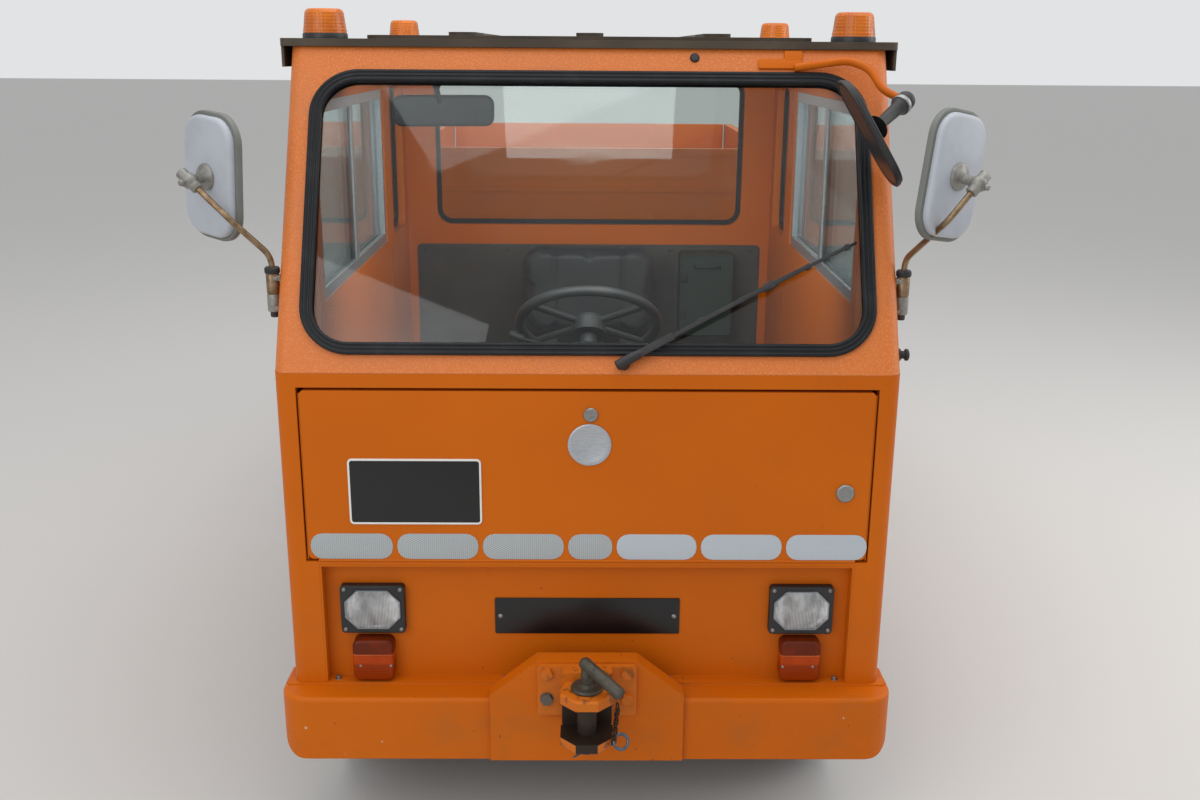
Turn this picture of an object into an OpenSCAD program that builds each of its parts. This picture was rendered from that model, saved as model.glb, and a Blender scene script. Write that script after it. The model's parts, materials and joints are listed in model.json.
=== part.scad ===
// Airport baggage tug with a forward cab and a small drop-side bed.
// The front faces -Y, the driver's left is +X and the floor is at z = 0.
// Lengths along the vehicle are given as distances behind the bumper's front face.

/* [Body] */
// Width of the cab body
body_w = 1250; // [1150:10:1350]
// Bumper face to rear beam face
body_len = 3200; // [3100:10:3500]
// Bumper face to the body's front panel
body_s = 60; // [50:1:80]
// Thickness of cab walls and doors
wall_t = 38; // [30:1:45]
// Radius of the cab's upright front corners
corner_r = 28; // [10:1:29]
// Running gap around doors and lids
panel_gap = 6; // [5:0.5:8]
// Sheet thickness of liners and guards
sheet_t = 5; // [4:0.5:6]

/* [Cab] */
// Height of the fold at the foot of the windscreen
ridge_z = 1048; // [1030:1:1070]
// Height of the roof's underside
roof_z = 1669; // [1650:1:1700]
// Set-back of the roof's front edge behind the front panel
screen_back = 316; // [290:1:340]
// Length of the cab from the bumper face to the outside of its rear wall
cab_len = 1728; // [1700:1:1740]
// Top of the cab floor
floor_z = 490; // [480:1:500]
// Thickness of the cab floor
floor_t = 18; // [12:1:20]
// Height of the door sills
sill_z = 400; // [395:1:410]
// Height of the window sills
window_z = 1098; // [1090:1:1110]
// Roof overhang beyond the body side
roof_over = 21; // [18:1:35]
// Thickness of the roof edge
roof_t = 16; // [12:1:20]

/* [Doors] */
// Distance from the bumper face to the door's front edge
door_s = 360; // [350:1:370]
// Width of each door
door_w = 970; // [940:5:985]
// Distance from the roof's underside down to the door's top edge
door_drop = 69; // [63:1:89]
// Width of the door frame around its window
door_rim = 46; // [36:1:55]

/* [Windscreen] */
// Distance from the body side to the rubber seal around the windscreen
seal_side = 48.5; // [46:0.5:60]
// Height of that seal along the slope
seal_h = 605; // [580:1:610]
// Outer corner radius of the seal
seal_r = 100; // [90:1:110]
// Width of the seal's face
seal_face = 25; // [22:1:30]
// Distance up the slope from the fold to the seal
seal_rise = 38; // [36:1:45]
// Glass thickness
glass_t = 6; // [5:0.5:8]

/* [Front lid and lamps] */
// Height of the lid's lower edge
lid_z = 652; // [646:1:660]
// Height of the front lid
lid_h = 361; // [355:1:364]
// Distance from the body side to the front lid
lid_side = 50; // [48:1:60]
// Thickness of the front lid
lid_t = 22; // [18:1:28]
// Distance from the body side to the lamp recess
recess_side = 70; // [65:1:80]
// Depth of the lamp recess
recess_d = 30; // [24:1:34]
// Distance from the recess's side to each headlight's centre
lamp_in = 103; // [95:1:110]
// Height of the headlight centres
lamp_z = 532; // [515:1:535]

/* [Bumper and couplings] */
// How far the bumper stands out beyond each body side
bumper_over = 21; // [10:1:24]
// Underside of the front bumper
bumper_z = 220; // [210:1:230]
// Height of the bumper's front face
bumper_h = 142; // [135:1:146]
// Wall of the bumper
bumper_t = 12; // [8:1:14]
// Seam between the top of the bumper and the body
bumper_seam = 2; // [1:0.5:6]
// Thickness of the coupling plates and pads
plate_t = 12; // [10:1:14]
// Width of the coupling jaw across its flats
jaw_w = 107; // [100:1:125]
// Radius of the coupling pin
pin_r = 20; // [16:0.5:22]
// Height of the middle of the front jaw
jaw_z = 372; // [364:1:380]
// Height of the middle of the rear jaw
rear_jaw_z = 400; // [390:1:410]

/* [Wheels] */
// Tyre radius
tyre_r = 270; // [262:1:275]
// Tyre width
tyre_w = 155; // [140:1:160]
// Rim bead radius
rim_r = 125; // [118:1:130]
// Distance from the body side to the middle of each tyre
wheel_inset = 103; // [100:1:110]
// Bumper face to the front axle
front_axle_s = 490; // [480:1:495]
// Rear axle to the rear beam's face
rear_over = 600; // [580:1:640]
// Radius of the wheel arches
arch_r = 345; // [340:1:350]
// Distance from the middle of each front tyre to its kingpin
kingpin_in = 92; // [90:1:98]
// Radius of the kingpins
kingpin_r = 12; // [10:0.5:14]
// Radius of the stub shafts
stub_r = 28; // [25:1:30]

/* [Chassis] */
// Distance from the centre to the middle of each rail
rail_x = 235; // [232:1:238]
// Width of the rails
rail_w = 60; // [50:1:64]
// Height of the rails
rail_h = 120; // [110:1:130]
// Wall of the rails
rail_wall = 8; // [6:1:10]

/* [Bed] */
// Gap between the cab and the bed
bed_gap = 62; // [58:1:80]
// Top of the bed floor
bed_z = 740; // [730:1:750]
// Thickness of the bed floor and its edge
bed_t = 60; // [50:1:70]
// How far each side of the bed stands in from the body side
bed_side = 5; // [0:1:15]
// Height of the boards above the floor
board_h = 613; // [560:1:620]
// Thickness of the boards
board_t = 30; // [26:1:34]
// Width of the rear corner posts
post_w = 40; // [36:1:50]

/* [Steering] */
// Outer diameter of the steering wheel
wheel_d = 380; // [360:5:400]
// Radius of the steering wheel's grip
grip_r = 13; // [11:0.5:15]
// Tilt of the steering column from upright
column_tilt = 40; // [36:1:42]
// Height of the steering wheel's centre
column_z = 985; // [975:1:1000]
// Bumper face to the steering wheel's centre
column_s = 800; // [790:1:810]

/* [Hidden] */
$fn = 48;

orange = "#d9731a";
textured_orange = "#dd7c3c";
dark = "#33322f";
steel_grey = "#8b8d90";
light_grey = "#b9bec8";
tyre_black = "#242424";
glass_tint = [0.7, 0.8, 0.85, 0.4];

// Joints and mating faces
fit = 0.05;
seat_gap = 0.3;
over = 1;

// Overall placing
jaw_len = 108;
front_reach = 2 * plate_t + jaw_len;
rear_reach = plate_t + jaw_len;
front_y = front_reach - (front_reach + body_len + rear_reach) / 2;

// Heights that follow the bumper and the roof
bumper_top = bumper_z + bumper_h;
cab_bottom = bumper_top + bumper_seam;
door_top = roof_z - door_drop;

// Windscreen slope
screen_h = roof_z - ridge_z;
lean = atan(screen_back / screen_h);
slope_len = screen_h / cos(lean);
slab_s = wall_t / cos(lean);
seal_mid = seal_rise + seal_h / 2;
function outer_s(z) = body_s + (z - ridge_z) * tan(lean);
function inner_s(z) = outer_s(z) + slab_s;

// Widths that follow the body
seal_w = body_w - 2 * seal_side;
lid_w = body_w - 2 * lid_side;
recess_w = body_w - 2 * recess_side;
lamp_x = recess_w / 2 - lamp_in;
bumper_w = body_w + 2 * bumper_over;
track_half = body_w / 2 - wheel_inset;
kingpin_x = track_half - kingpin_in;
bed_w = body_w - 2 * bed_side;
sill_x = body_w / 2 - 65;

// Cab walls
inner_x = body_w / 2 - wall_t;
door_end = door_s + door_w;
pillar_s = door_s - panel_gap;
quarter_s = door_end + panel_gap;
rear_in = cab_len - wall_t;
liner_r = arch_r + sheet_t;
liner_x = rail_x + rail_w / 2 + 20;
rail_z = floor_z - floor_t - rail_h;
rail_top = rail_z + rail_h;
axle_z = tyre_r;
rear_axle_s = body_len - rear_over;
bed_s = cab_len + bed_gap + 3;
bed_end = body_len - 20;
bed_under = bed_z - bed_t;
board_z = bed_z + panel_gap;
board_top = bed_z + board_h;

module placed() {
    translate([0, front_y, 0]) children();
}

module on_side(side) {
    if (side > 0) children();
    else mirror([1, 0, 0]) children();
}

module both_sides() {
    for (side = [-1, 1]) on_side(side) children();
}

// Rounded rectangle around the origin
module round_rect(w, h, r) {
    square([w - 2 * r, h], center = true);
    square([w, h - 2 * r], center = true);
    for (x = [-1, 1], y = [-1, 1])
        translate([x * (w / 2 - r), y * (h / 2 - r)]) circle(r = r);
}

// A flat shape drawn in X and Z, from y = 0 towards +Y
module upright(t) {
    translate([0, t, 0]) rotate([90, 0, 0]) linear_extrude(t) children();
}

// A shape drawn as [s, z], from x = 0 towards +X
module across(w) {
    rotate([90, 0, 90]) linear_extrude(w) children();
}

// Box between two corners
module span(low, high) {
    translate(low) cube(high - low);
}

// Cylinder lying along X, from x0 to x1
module rod_x(x0, x1, r, s, z) {
    translate([x0, s, z]) rotate([0, 90, 0]) cylinder(h = x1 - x0, r = r);
}

// Cylinder lying along Y, from s0 to s1
module rod_y(s0, s1, r, x, z) {
    translate([x, s0, z]) rotate([-90, 0, 0]) cylinder(h = s1 - s0, r = r);
}

// Plan of a cab section that is open at the back
module cab_plan(s0, s1) {
    difference() {
        union() {
            translate([-body_w / 2, s0 + corner_r]) square([body_w, s1 - s0 - corner_r]);
            translate([corner_r - body_w / 2, s0]) square([body_w - 2 * corner_r, 2 * corner_r]);
            for (x = [-1, 1])
                translate([x * (body_w / 2 - corner_r), s0 + corner_r]) circle(r = corner_r);
        }
        translate([-inner_x, s0 + wall_t]) square([2 * inner_x, s1 - s0]);
    }
}

// Puts children in the windscreen's plane: X across, Z up the slope, +Y inwards
module on_slope() {
    translate([0, body_s, ridge_z]) rotate([-lean, 0, 0]) children();
}

// Wheel arch cut, through both body sides
module arch_cut(r) {
    rod_x(-body_w, body_w, r, front_axle_s, axle_z);
}

// Hinge half, axis along Z, panel at +Y, the panel's face at x = -hinge_off
hinge_r = 8;
hinge_off = 12;
leaf_w = 30;
leaf_t = 4;
hinge_h = 90;
module hinge_half(moving) {
    third = hinge_h / 3;
    side = moving ? 1 : -1;
    starts = moving ? [-third / 2 + seat_gap] : [-hinge_h / 2, third / 2];
    height = moving ? third - 2 * seat_gap : third;
    for (z = starts) translate([0, 0, z]) {
        cylinder(h = height, r = hinge_r);
        translate([-hinge_off, side > 0 ? 3 : -leaf_w, 0]) cube([leaf_t, leaf_w - 3, height]);
        translate([-hinge_off, side > 0 ? 1 : -5, 0]) cube([hinge_off - hinge_r / 2, 4, height]);
    }
}

/* Chassis and running gear */

spring_half = 330;
spring_rise = 12;
spring_w = 50;
leaf_h = 7;
spring_top = axle_z + 26 + 3 * leaf_h;
eye_r = 11;
spring_arc = (pow(spring_half, 2) + pow(spring_rise, 2)) / (2 * spring_rise);
function arc_z(ds) = spring_top + spring_arc - sqrt(pow(spring_arc, 2) - pow(ds, 2));
function arc_row(from, to, drop, n) = [
    for (i = [0:n]) let (ds = from + (to - from) * i / n) [ds, arc_z(ds) - drop]
];

// Three leaves, the longest on top, with an eye at each end
module leaf_spring(x, s) {
    second = spring_half * 0.72;
    third = spring_half * 0.45;
    translate([x - spring_w / 2, s, 0]) {
        across(spring_w) polygon(concat(
            arc_row(-spring_half, spring_half, 0, 10),
            arc_row(spring_half, second, leaf_h, 2),
            arc_row(second, third, 2 * leaf_h, 2),
            arc_row(third, -third, 3 * leaf_h, 6),
            arc_row(-third, -second, 2 * leaf_h, 2),
            arc_row(-second, -spring_half, leaf_h, 2)
        ));
        for (end = [-1, 1])
            rod_x(0, spring_w, eye_r, end * spring_half, arc_z(spring_half) - leaf_h / 2);
    }
}

module spring_hangers(s) {
    ear_t = 8;
    eye_z = arc_z(spring_half) - leaf_h / 2;
    for (x = [-rail_x, rail_x], end = [-1, 1], ear = [-1, 1]) {
        ear_x = x + ear * (spring_w / 2 + seat_gap + ear_t / 2);
        span([ear_x - ear_t / 2, s + end * spring_half - 22, eye_z - 16],
             [ear_x + ear_t / 2, s + end * spring_half + 22, rail_z]);
    }
}

module chassis() {
    color(dark) placed() {
        rail_start = body_s + wall_t;
        rail_end = body_len - beam_d;
        iron_end = front_axle_s - spring_half - 28;
        for (x = [-rail_x, rail_x]) {
            difference() {
                span([x - rail_w / 2, rail_start, rail_z], [x + rail_w / 2, rail_end, rail_top]);
                span([x - rail_w / 2 + rail_wall, rail_start - over, rail_z + rail_wall],
                     [x + rail_w / 2 - rail_wall, rail_end + over, rail_top - rail_wall]);
            }
            // bumper iron under the rail's nose
            span([x - 20, bumper_t, rail_z - 90], [x + 20, iron_end, rail_z - 10]);
            span([x - 20, rail_start, rail_z - 11], [x + 20, iron_end, rail_z]);
        }
        // distance behind the bumper, half length along the vehicle
        members = [[rail_start + 27, 27], [front_axle_s + 470, 30], [rear_in - 190, 30],
                   [rear_axle_s - 255, 15], [rear_axle_s + 360, 30]];
        for (m = members)
            span([-rail_x + rail_w / 2, m[0] - m[1], rail_z + 20],
                 [rail_x - rail_w / 2, m[0] + m[1], rail_top - 10]);
        both_sides()
            span([rail_x + rail_w / 2, rail_start, rail_z], [sill_x, rail_start + 54, rail_z + 60]);
    }
}
module frame_brackets() {
    bearer_t = 12;
    color(dark) placed() {
        for (s = [front_axle_s, rear_axle_s]) spring_hangers(s);
        // bearers that carry the bed
        for (s = [bed_s + 14, rear_axle_s - 275, rear_axle_s + 280, bed_end - 110])
            translate([0, s, 0]) upright(bearer_t) polygon([
                [-rail_x - rail_w / 2, rail_top], [rail_x + rail_w / 2, rail_top],
                [bed_w / 2 - 40, bed_under - 30], [bed_w / 2 - 40, bed_under],
                [40 - bed_w / 2, bed_under], [40 - bed_w / 2, bed_under - 30]
            ]);
    }
}

// Springs with the clamps that hold the axles
module leaf_springs() {
    clamp_x = spring_w / 2 + 15;
    bolt_x = spring_w / 2 + 8;
    clamp_low = axle_z - 48;
    color(dark) placed() for (s = [front_axle_s, rear_axle_s], x = [-rail_x, rail_x]) {
        leaf_spring(x, s);
        span([x - clamp_x, s - 46, spring_top], [x + clamp_x, s + 46, spring_top + 10]);
        span([x - clamp_x, s - 46, clamp_low + 4], [x + clamp_x, s + 46, axle_z - 26]);
        for (dx = [-bolt_x, bolt_x], ds = [-39, 39])
            translate([x + dx, s + ds, clamp_low]) cylinder(h = spring_top + 18 - clamp_low, r = 5);
    }
}

boss_h = 76;
module front_axle() {
    color(dark) placed() {
        difference() {
            union() {
                span([20 - kingpin_x, front_axle_s - 32, axle_z - 26],
                     [kingpin_x - 20, front_axle_s + 32, axle_z + 26]);
                for (x = [-kingpin_x, kingpin_x])
                    translate([x, front_axle_s, axle_z - boss_h / 2]) cylinder(h = boss_h, r = 30);
            }
            for (x = [-kingpin_x, kingpin_x])
                translate([x, front_axle_s, axle_z - boss_h])
                    cylinder(h = 2 * boss_h, r = kingpin_r + fit);
        }
    }
}

stub_x0 = track_half - 42;
stub_x1 = track_half + 37;
module rear_axle() {
    color(dark) placed() {
        both_sides() {
            rod_x(0, stub_x0, 25, rear_axle_s, axle_z);
            rod_x(stub_x0 - over, stub_x1, stub_r, rear_axle_s, axle_z);
            rod_x(stub_x0 - 6, stub_x0, 88, rear_axle_s, axle_z);
        }
        for (x = [-rail_x, rail_x])
            span([x - 34, rear_axle_s - 32, axle_z - 26], [x + 34, rear_axle_s + 32, axle_z + 26]);
        // gear housing and drive motor
        rod_x(-75, 75, 105, rear_axle_s, axle_z);
        rod_y(rear_axle_s - 235, rear_axle_s - 60, 88, 0, axle_z);
        rod_y(rear_axle_s - 110, rear_axle_s - 85, 98, 0, axle_z);
    }
}

arm_s = 105;
ear_z = boss_h / 2 + seat_gap;
ear_t = 15;
arm_pin_r = 8;
module knuckle() {
    translate([kingpin_x, front_axle_s, axle_z]) {
        for (low = [ear_z, -ear_z - ear_t])
            translate([0, 0, low]) {
                cylinder(h = ear_t, r = 30);
                translate([0, -26, 0]) cube([50, 52, ear_t]);
            }
        translate([0, 0, -ear_z - over]) cylinder(h = 2 * (ear_z + over), r = kingpin_r);
        translate([35, -30, -ear_z - ear_t]) cube([stub_x0 - kingpin_x - 35, 60, 2 * (ear_z + ear_t)]);
        rod_x(stub_x0 - kingpin_x - over, stub_x1 - kingpin_x, stub_r, 0, 0);
        rod_x(stub_x0 - kingpin_x - 6, stub_x0 - kingpin_x, 88, 0, 0);
        // steering arm with the ball stud below it
        translate([0, 0, -ear_z - ear_t]) {
            linear_extrude(ear_t) polygon([[-24, 10], [24, 10], [13, arm_s], [-13, arm_s]]);
            translate([0, arm_s, 0]) cylinder(h = ear_t, r = 15);
            translate([0, arm_s, -30]) cylinder(h = 32, r = arm_pin_r);
        }
    }
}
module knuckle_left() {
    color(dark) placed() knuckle();
}
module knuckle_right() {
    color(dark) placed() on_side(-1) knuckle();
}

// Shaft of the steering gear and its bore
drop_x = 60;
drop_s = front_axle_s - 110;
drop_shaft_r = 14;
gear_low = rail_top - 105;
module tie_rod() {
    color(steel_grey) placed() {
        rod_s = front_axle_s + arm_s;
        end_h = 24;
        end_z = axle_z - ear_z - ear_t - 3 - end_h;
        difference() {
            union() {
                rod_x(-kingpin_x, kingpin_x, 9, rod_s, end_z + end_h / 2);
                both_sides() translate([kingpin_x, rod_s, end_z]) cylinder(h = end_h, r = 13);
                // drag link that the drop arm pushes
                tube([kingpin_x - 110, rod_s, end_z + end_h / 2],
                     [drop_x, drop_s + arm_s, end_z + end_h / 2], 8);
                translate([drop_x, drop_s + arm_s, end_z]) cylinder(h = end_h, r = 13);
            }
            both_sides()
                translate([kingpin_x, rod_s, end_z - over])
                    cylinder(h = end_h + 2 * over, r = arm_pin_r + fit);
            translate([drop_x, drop_s + arm_s, end_z - over])
                cylinder(h = end_h + 2 * over, r = arm_pin_r + fit);
        }
    }
}

// Arm under the steering gear, as long as the steering arms and parallel to them
module drop_arm() {
    color(dark) placed() translate([drop_x, drop_s, axle_z - ear_z - ear_t]) {
        linear_extrude(ear_t) polygon([[-16, 0], [16, 0], [12, arm_s], [-12, arm_s]]);
        cylinder(h = ear_t, r = 22);
        cylinder(h = gear_low + 40 - axle_z + ear_z + ear_t, r = drop_shaft_r);
        translate([0, arm_s, 0]) cylinder(h = ear_t, r = 15);
        translate([0, arm_s, -30]) cylinder(h = 32, r = arm_pin_r);
    }
}

// Steel wheel with its hub and brake drum, axle along X, outer side at +X
module rim() {
    half = tyre_w / 2 - 6;
    bead = half - 7;
    lip_r = rim_r + 14;
    well_r = rim_r - 7;
    drum_r = 80;
    hub_r = 44;
    stub_len = stub_x1 - track_half;
    nut_ring = 60;
    hole_ring = 98;
    difference() {
        rotate([0, 90, 0]) rotate_extrude() polygon([
            [stub_r + fit, -38], [hub_r, -38], [hub_r, 4], [drum_r - 9, 4], [drum_r - 9, -34],
            [drum_r, -34], [drum_r, 12], [well_r, 24], [well_r, -half], [lip_r, -half],
            [lip_r, -bead], [rim_r, -bead], [rim_r, bead], [lip_r, bead], [lip_r, half],
            [well_r, half], [well_r, 32], [drum_r, 20], [hub_r, 20], [hub_r, 46],
            [hub_r - 12, 56], [0, 56], [0, stub_len + 5], [stub_r + fit, stub_len + 5]
        ]);
        for (a = [0:60:359])
            rotate([a, 0, 0]) translate([10, 0, hole_ring]) rotate([0, 90, 0]) cylinder(h = 40, r = 8);
    }
    for (a = [0:72:359])
        rotate([a, 0, 0]) translate([19, 0, nut_ring]) rotate([0, 90, 0]) cylinder(h = 16, r = 12, $fn = 6);
}
module tyre() {
    half = tyre_w / 2;
    bead = half - 13 - seat_gap;
    rotate([0, 90, 0]) rotate_extrude($fn = 64) polygon([
        [rim_r + seat_gap, -bead], [rim_r + 17, -bead], [rim_r + 32, 3 - half], [tyre_r - 66, -half],
        [tyre_r - 30, 3 - half], [tyre_r - 9, 15 - half], [tyre_r, 36 - half],
        [tyre_r, half - 36], [tyre_r - 9, half - 15], [tyre_r - 30, half - 3], [tyre_r - 66, half],
        [rim_r + 32, half - 3], [rim_r + 17, bead], [rim_r + seat_gap, bead]
    ]);
}
module at_wheel(s) {
    translate([track_half, s, axle_z]) children();
}
module rim_front_left() {
    color(orange) placed() at_wheel(front_axle_s) rim();
}
module rim_front_right() {
    color(orange) placed() on_side(-1) at_wheel(front_axle_s) rim();
}
module rim_rear_left() {
    color(orange) placed() at_wheel(rear_axle_s) rim();
}
module rim_rear_right() {
    color(orange) placed() on_side(-1) at_wheel(rear_axle_s) rim();
}
module tyre_front_left() {
    color(tyre_black) placed() at_wheel(front_axle_s) tyre();
}
module tyre_front_right() {
    color(tyre_black) placed() on_side(-1) at_wheel(front_axle_s) tyre();
}
module tyre_rear_left() {
    color(tyre_black) placed() at_wheel(rear_axle_s) tyre();
}
module tyre_rear_right() {
    color(tyre_black) placed() on_side(-1) at_wheel(rear_axle_s) tyre();
}

module battery() {
    color("dimgray") placed() {
        s0 = bed_s + 30;
        s1 = rear_axle_s - 285;
        inner_half = rail_x - rail_w / 2 - 8;
        span([-inner_half, s0, 300], [inner_half, s1, rail_top]);
        span([70 - bed_w / 2, s0, rail_top], [bed_w / 2 - 70, s1, bed_under - 25]);
    }
}

/* Bumper and couplings */

bumper_r = body_s;
edge_r = 9;
module bumper_section() {
    polygon([
        [0, bumper_z], [bumper_t, bumper_z], [bumper_t, bumper_top - bumper_t],
        [bumper_r, bumper_top - bumper_t], [bumper_r, bumper_top],
        [edge_r, bumper_top], [edge_r, bumper_top - edge_r], [0, bumper_top - edge_r]
    ]);
    translate([edge_r, bumper_top - edge_r]) circle(r = edge_r);
}
module front_bumper() {
    bumper_back = 138;
    lower_r = 45;
    straight = bumper_w / 2 - bumper_r;
    color(orange) placed() intersection() {
        union() {
            translate([-straight, 0, 0]) across(2 * straight) bumper_section();
            both_sides() {
                translate([straight, bumper_r, 0]) rotate([0, 0, -90]) rotate_extrude(angle = 90)
                    translate([bumper_r, 0]) mirror([1, 0]) bumper_section();
                translate([bumper_w / 2, bumper_back, 0]) rotate([90, 0, 0])
                    linear_extrude(bumper_back - bumper_r) mirror([1, 0]) bumper_section();
            }
        }
        translate([0, -over, 0]) upright(bumper_back + 2 * over) union() {
            translate([-bumper_w / 2, bumper_z + lower_r]) square([bumper_w, 2 * bumper_h]);
            translate([lower_r - bumper_w / 2, bumper_z]) square([bumper_w - 2 * lower_r, bumper_h]);
            for (x = [-1, 1])
                translate([x * (bumper_w / 2 - lower_r), bumper_z + lower_r]) circle(r = lower_r);
        }
    }
}

plate_low = 202;
plate_high = 104;
plate_top = jaw_z + 83;
plate_knee = bumper_top + 15;
plate_flange = 30;
module plate_outline(inset) {
    polygon([
        [-plate_low + inset, bumper_z + 4], [plate_low - inset, bumper_z + 4],
        [plate_low - inset, plate_knee - inset / 2], [plate_high - inset / 2, plate_top - inset],
        [inset / 2 - plate_high, plate_top - inset], [inset - plate_low, plate_knee - inset / 2]
    ]);
}
module hitch_plate() {
    color(orange) placed() {
        translate([0, -plate_t, 0]) upright(plate_t) plate_outline(0);
        // folded flange above the bumper
        translate([0, -over, 0]) upright(plate_flange + over) intersection() {
            difference() {
                plate_outline(0);
                plate_outline(8);
            }
            translate([-plate_low, bumper_top + seat_gap]) square([2 * plate_low, plate_top]);
        }
    }
}

jaw_gap = 74;
lip_h = 22;
lip_chamfer = 4;
pad_w = 204;
pad_h = 112;
pad_up = 23;
block_half = 51;
pad_bolts = [[-83, 64], [83, 64], [-83, 6], [83, 6]];
pin_y = -plate_t - jaw_len + jaw_w / 2;
// Mounting face at y = 0, mouth towards -Y, middle of the mouth at z = 0
module jaw() {
    octagon_r = jaw_w / 2 / cos(22.5);
    outer_z = jaw_gap / 2 + lip_h;
    difference() {
        union() {
            translate([0, -plate_t, pad_up]) upright(plate_t) round_rect(pad_w, pad_h, 6);
            span([-block_half, -38, -outer_z], [block_half, -plate_t, pad_up + pad_h / 2]);
            for (side = [-1, 1])
                mirror([0, 0, side < 0 ? 1 : 0]) translate([0, pin_y, jaw_gap / 2]) {
                    rotate([0, 0, 22.5]) hull() {
                        cylinder(h = lip_h - lip_chamfer, r = octagon_r, $fn = 8);
                        cylinder(h = lip_h, r = octagon_r - lip_chamfer, $fn = 8);
                    }
                    translate([-40, 0, 0]) cube([80, -pin_y - 30, lip_h]);
                }
        }
        translate([0, pin_y, -2 * outer_z]) cylinder(h = 4 * outer_z, r = pin_r + fit);
    }
    for (place = pad_bolts)
        translate([place[0], -plate_t, place[1]]) rotate([90, 0, 0]) cylinder(h = 10, r = 13, $fn = 6);
}
// At the front hitch plate and at the rear beam
module at_couplings() {
    translate([0, -plate_t, jaw_z]) children();
    translate([0, body_len, rear_jaw_z]) rotate([0, 0, 180]) children();
}
module tow_jaws() {
    color(orange) placed() at_couplings() jaw();
}
module coupling_pin() {
    top = jaw_gap / 2 + lip_h;
    tail = 24;
    collar_h = 7;
    collar_r = pin_r + 8;
    stem_top = top + 52;
    translate([0, pin_y, 0]) {
        translate([0, 0, -top - tail]) cylinder(h = 2 * top + tail + over, r = pin_r);
        translate([0, 0, top + seat_gap]) cylinder(h = collar_h, r = collar_r);
        translate([0, 0, top + over]) cylinder(h = stem_top - top, r = 12);
        // grip, hanging down towards the front
        translate([-9, 7, stem_top + 6]) rotate([0, 0, -40]) rotate([0, 112, 0])
            cylinder(h = 108, r = 13);
    }
}
module coupling_pins() {
    color(dark) placed() at_couplings() coupling_pin();
}

beam_d = 62;
module rear_beam() {
    beam_w = bed_w - 40;
    beam_h = 168;
    color(orange) placed() {
        difference() {
            translate([0, body_len - beam_d, rail_z + beam_h / 2]) upright(beam_d)
                round_rect(beam_w, beam_h, 12);
            span([8 - beam_w / 2, body_len - beam_d - over, rail_z + 8],
                 [beam_w / 2 - 8, body_len - 10, rail_z + beam_h - 8]);
        }
        for (x = [-rail_x, rail_x])
            span([x - 25, body_len - beam_d, rail_z + 4], [x + 25, body_len - 9, rail_z + 112]);
    }
}

/* Cab shell */

hinge_low = sill_z + 320;
hinge_high = window_z + 232;
module door_hinge(moving, z) {
    translate([body_w / 2 + hinge_off, door_s - panel_gap / 2, z]) hinge_half(moving);
}
module cab_front() {
    color(orange) placed() {
        difference() {
            translate([0, 0, cab_bottom]) linear_extrude(ridge_z - cab_bottom) cab_plan(body_s, pillar_s);
            span([-lid_w / 2 - panel_gap, 0, lid_z - panel_gap],
                 [lid_w / 2 + panel_gap, body_s + wall_t + over, lid_z + lid_h + panel_gap]);
            span([-recess_w / 2, 0, cab_bottom - over], [recess_w / 2, body_s + wall_t + over, lid_z - 14]);
            arch_cut(arch_r);
        }
        both_sides() door_hinge(false, hinge_low);
    }
}

module lamp_recess() {
    top = lid_z - 14;
    back = body_s + recess_d;
    color(orange) placed() difference() {
        span([-recess_w / 2, body_s, cab_bottom], [recess_w / 2, back + 4, top]);
        translate([-recess_w / 2 + 4, 0, 0]) across(recess_w - 8) polygon([
            [body_s - over, cab_bottom + 4], [back, cab_bottom + 4],
            [back, top - 4], [body_s - over, top - 4]
        ]);
    }
}

lid_axis_s = body_s;
lid_axis_z = lid_z - panel_gap / 2;
lid_rod_r = panel_gap / 2 - 0.4;
module front_lid() {
    color(orange) placed() {
        translate([0, body_s, lid_z + lid_h / 2]) upright(lid_t) round_rect(lid_w, lid_h, 10);
        rod_x(20 - lid_w / 2, lid_w / 2 - 20, lid_rod_r, lid_axis_s, lid_axis_z);
        span([20 - lid_w / 2, body_s, lid_axis_z], [lid_w / 2 - 20, body_s + 2, lid_z + over]);
    }
}

module windscreen_frame() {
    color(textured_orange) placed() {
        difference() {
            intersection() {
                on_slope() translate([0, 0, -600]) linear_extrude(slope_len + 1200) cab_plan(0, 900);
                translate([-body_w, 0, 0]) across(2 * body_w) polygon([
                    [0, ridge_z], [pillar_s, ridge_z],
                    [pillar_s, ridge_z + (pillar_s - body_s - slab_s) / tan(lean)],
                    [inner_s(roof_z), roof_z], [0, roof_z]
                ]);
            }
            on_slope() translate([0, -over, seal_mid]) upright(wall_t + 40)
                round_rect(seal_w - seal_face, seal_h - seal_face, seal_r - seal_face / 2);
        }
        both_sides() door_hinge(false, hinge_high);
    }
}

// Rubber seal around a pane, the wall's outer face at y = 0, inwards at +Y
pane_in = 18;
pane_y = 5;
module pane(w, h, r) {
    translate([0, pane_y, 0]) upright(glass_t) round_rect(w - 2 * pane_in, h - 2 * pane_in, r - pane_in);
}
module seal(w, h, r) {
    difference() {
        union() {
            translate([0, -7, 0]) upright(7) round_rect(w, h, r);
            translate([0, -over, 0]) upright(16 + over)
                round_rect(w - seal_face, h - seal_face, r - seal_face / 2);
        }
        translate([0, -20, 0]) upright(60)
            round_rect(w - 2 * seal_face, h - 2 * seal_face, r - seal_face);
        pane(w, h, r);
    }
}

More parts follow.
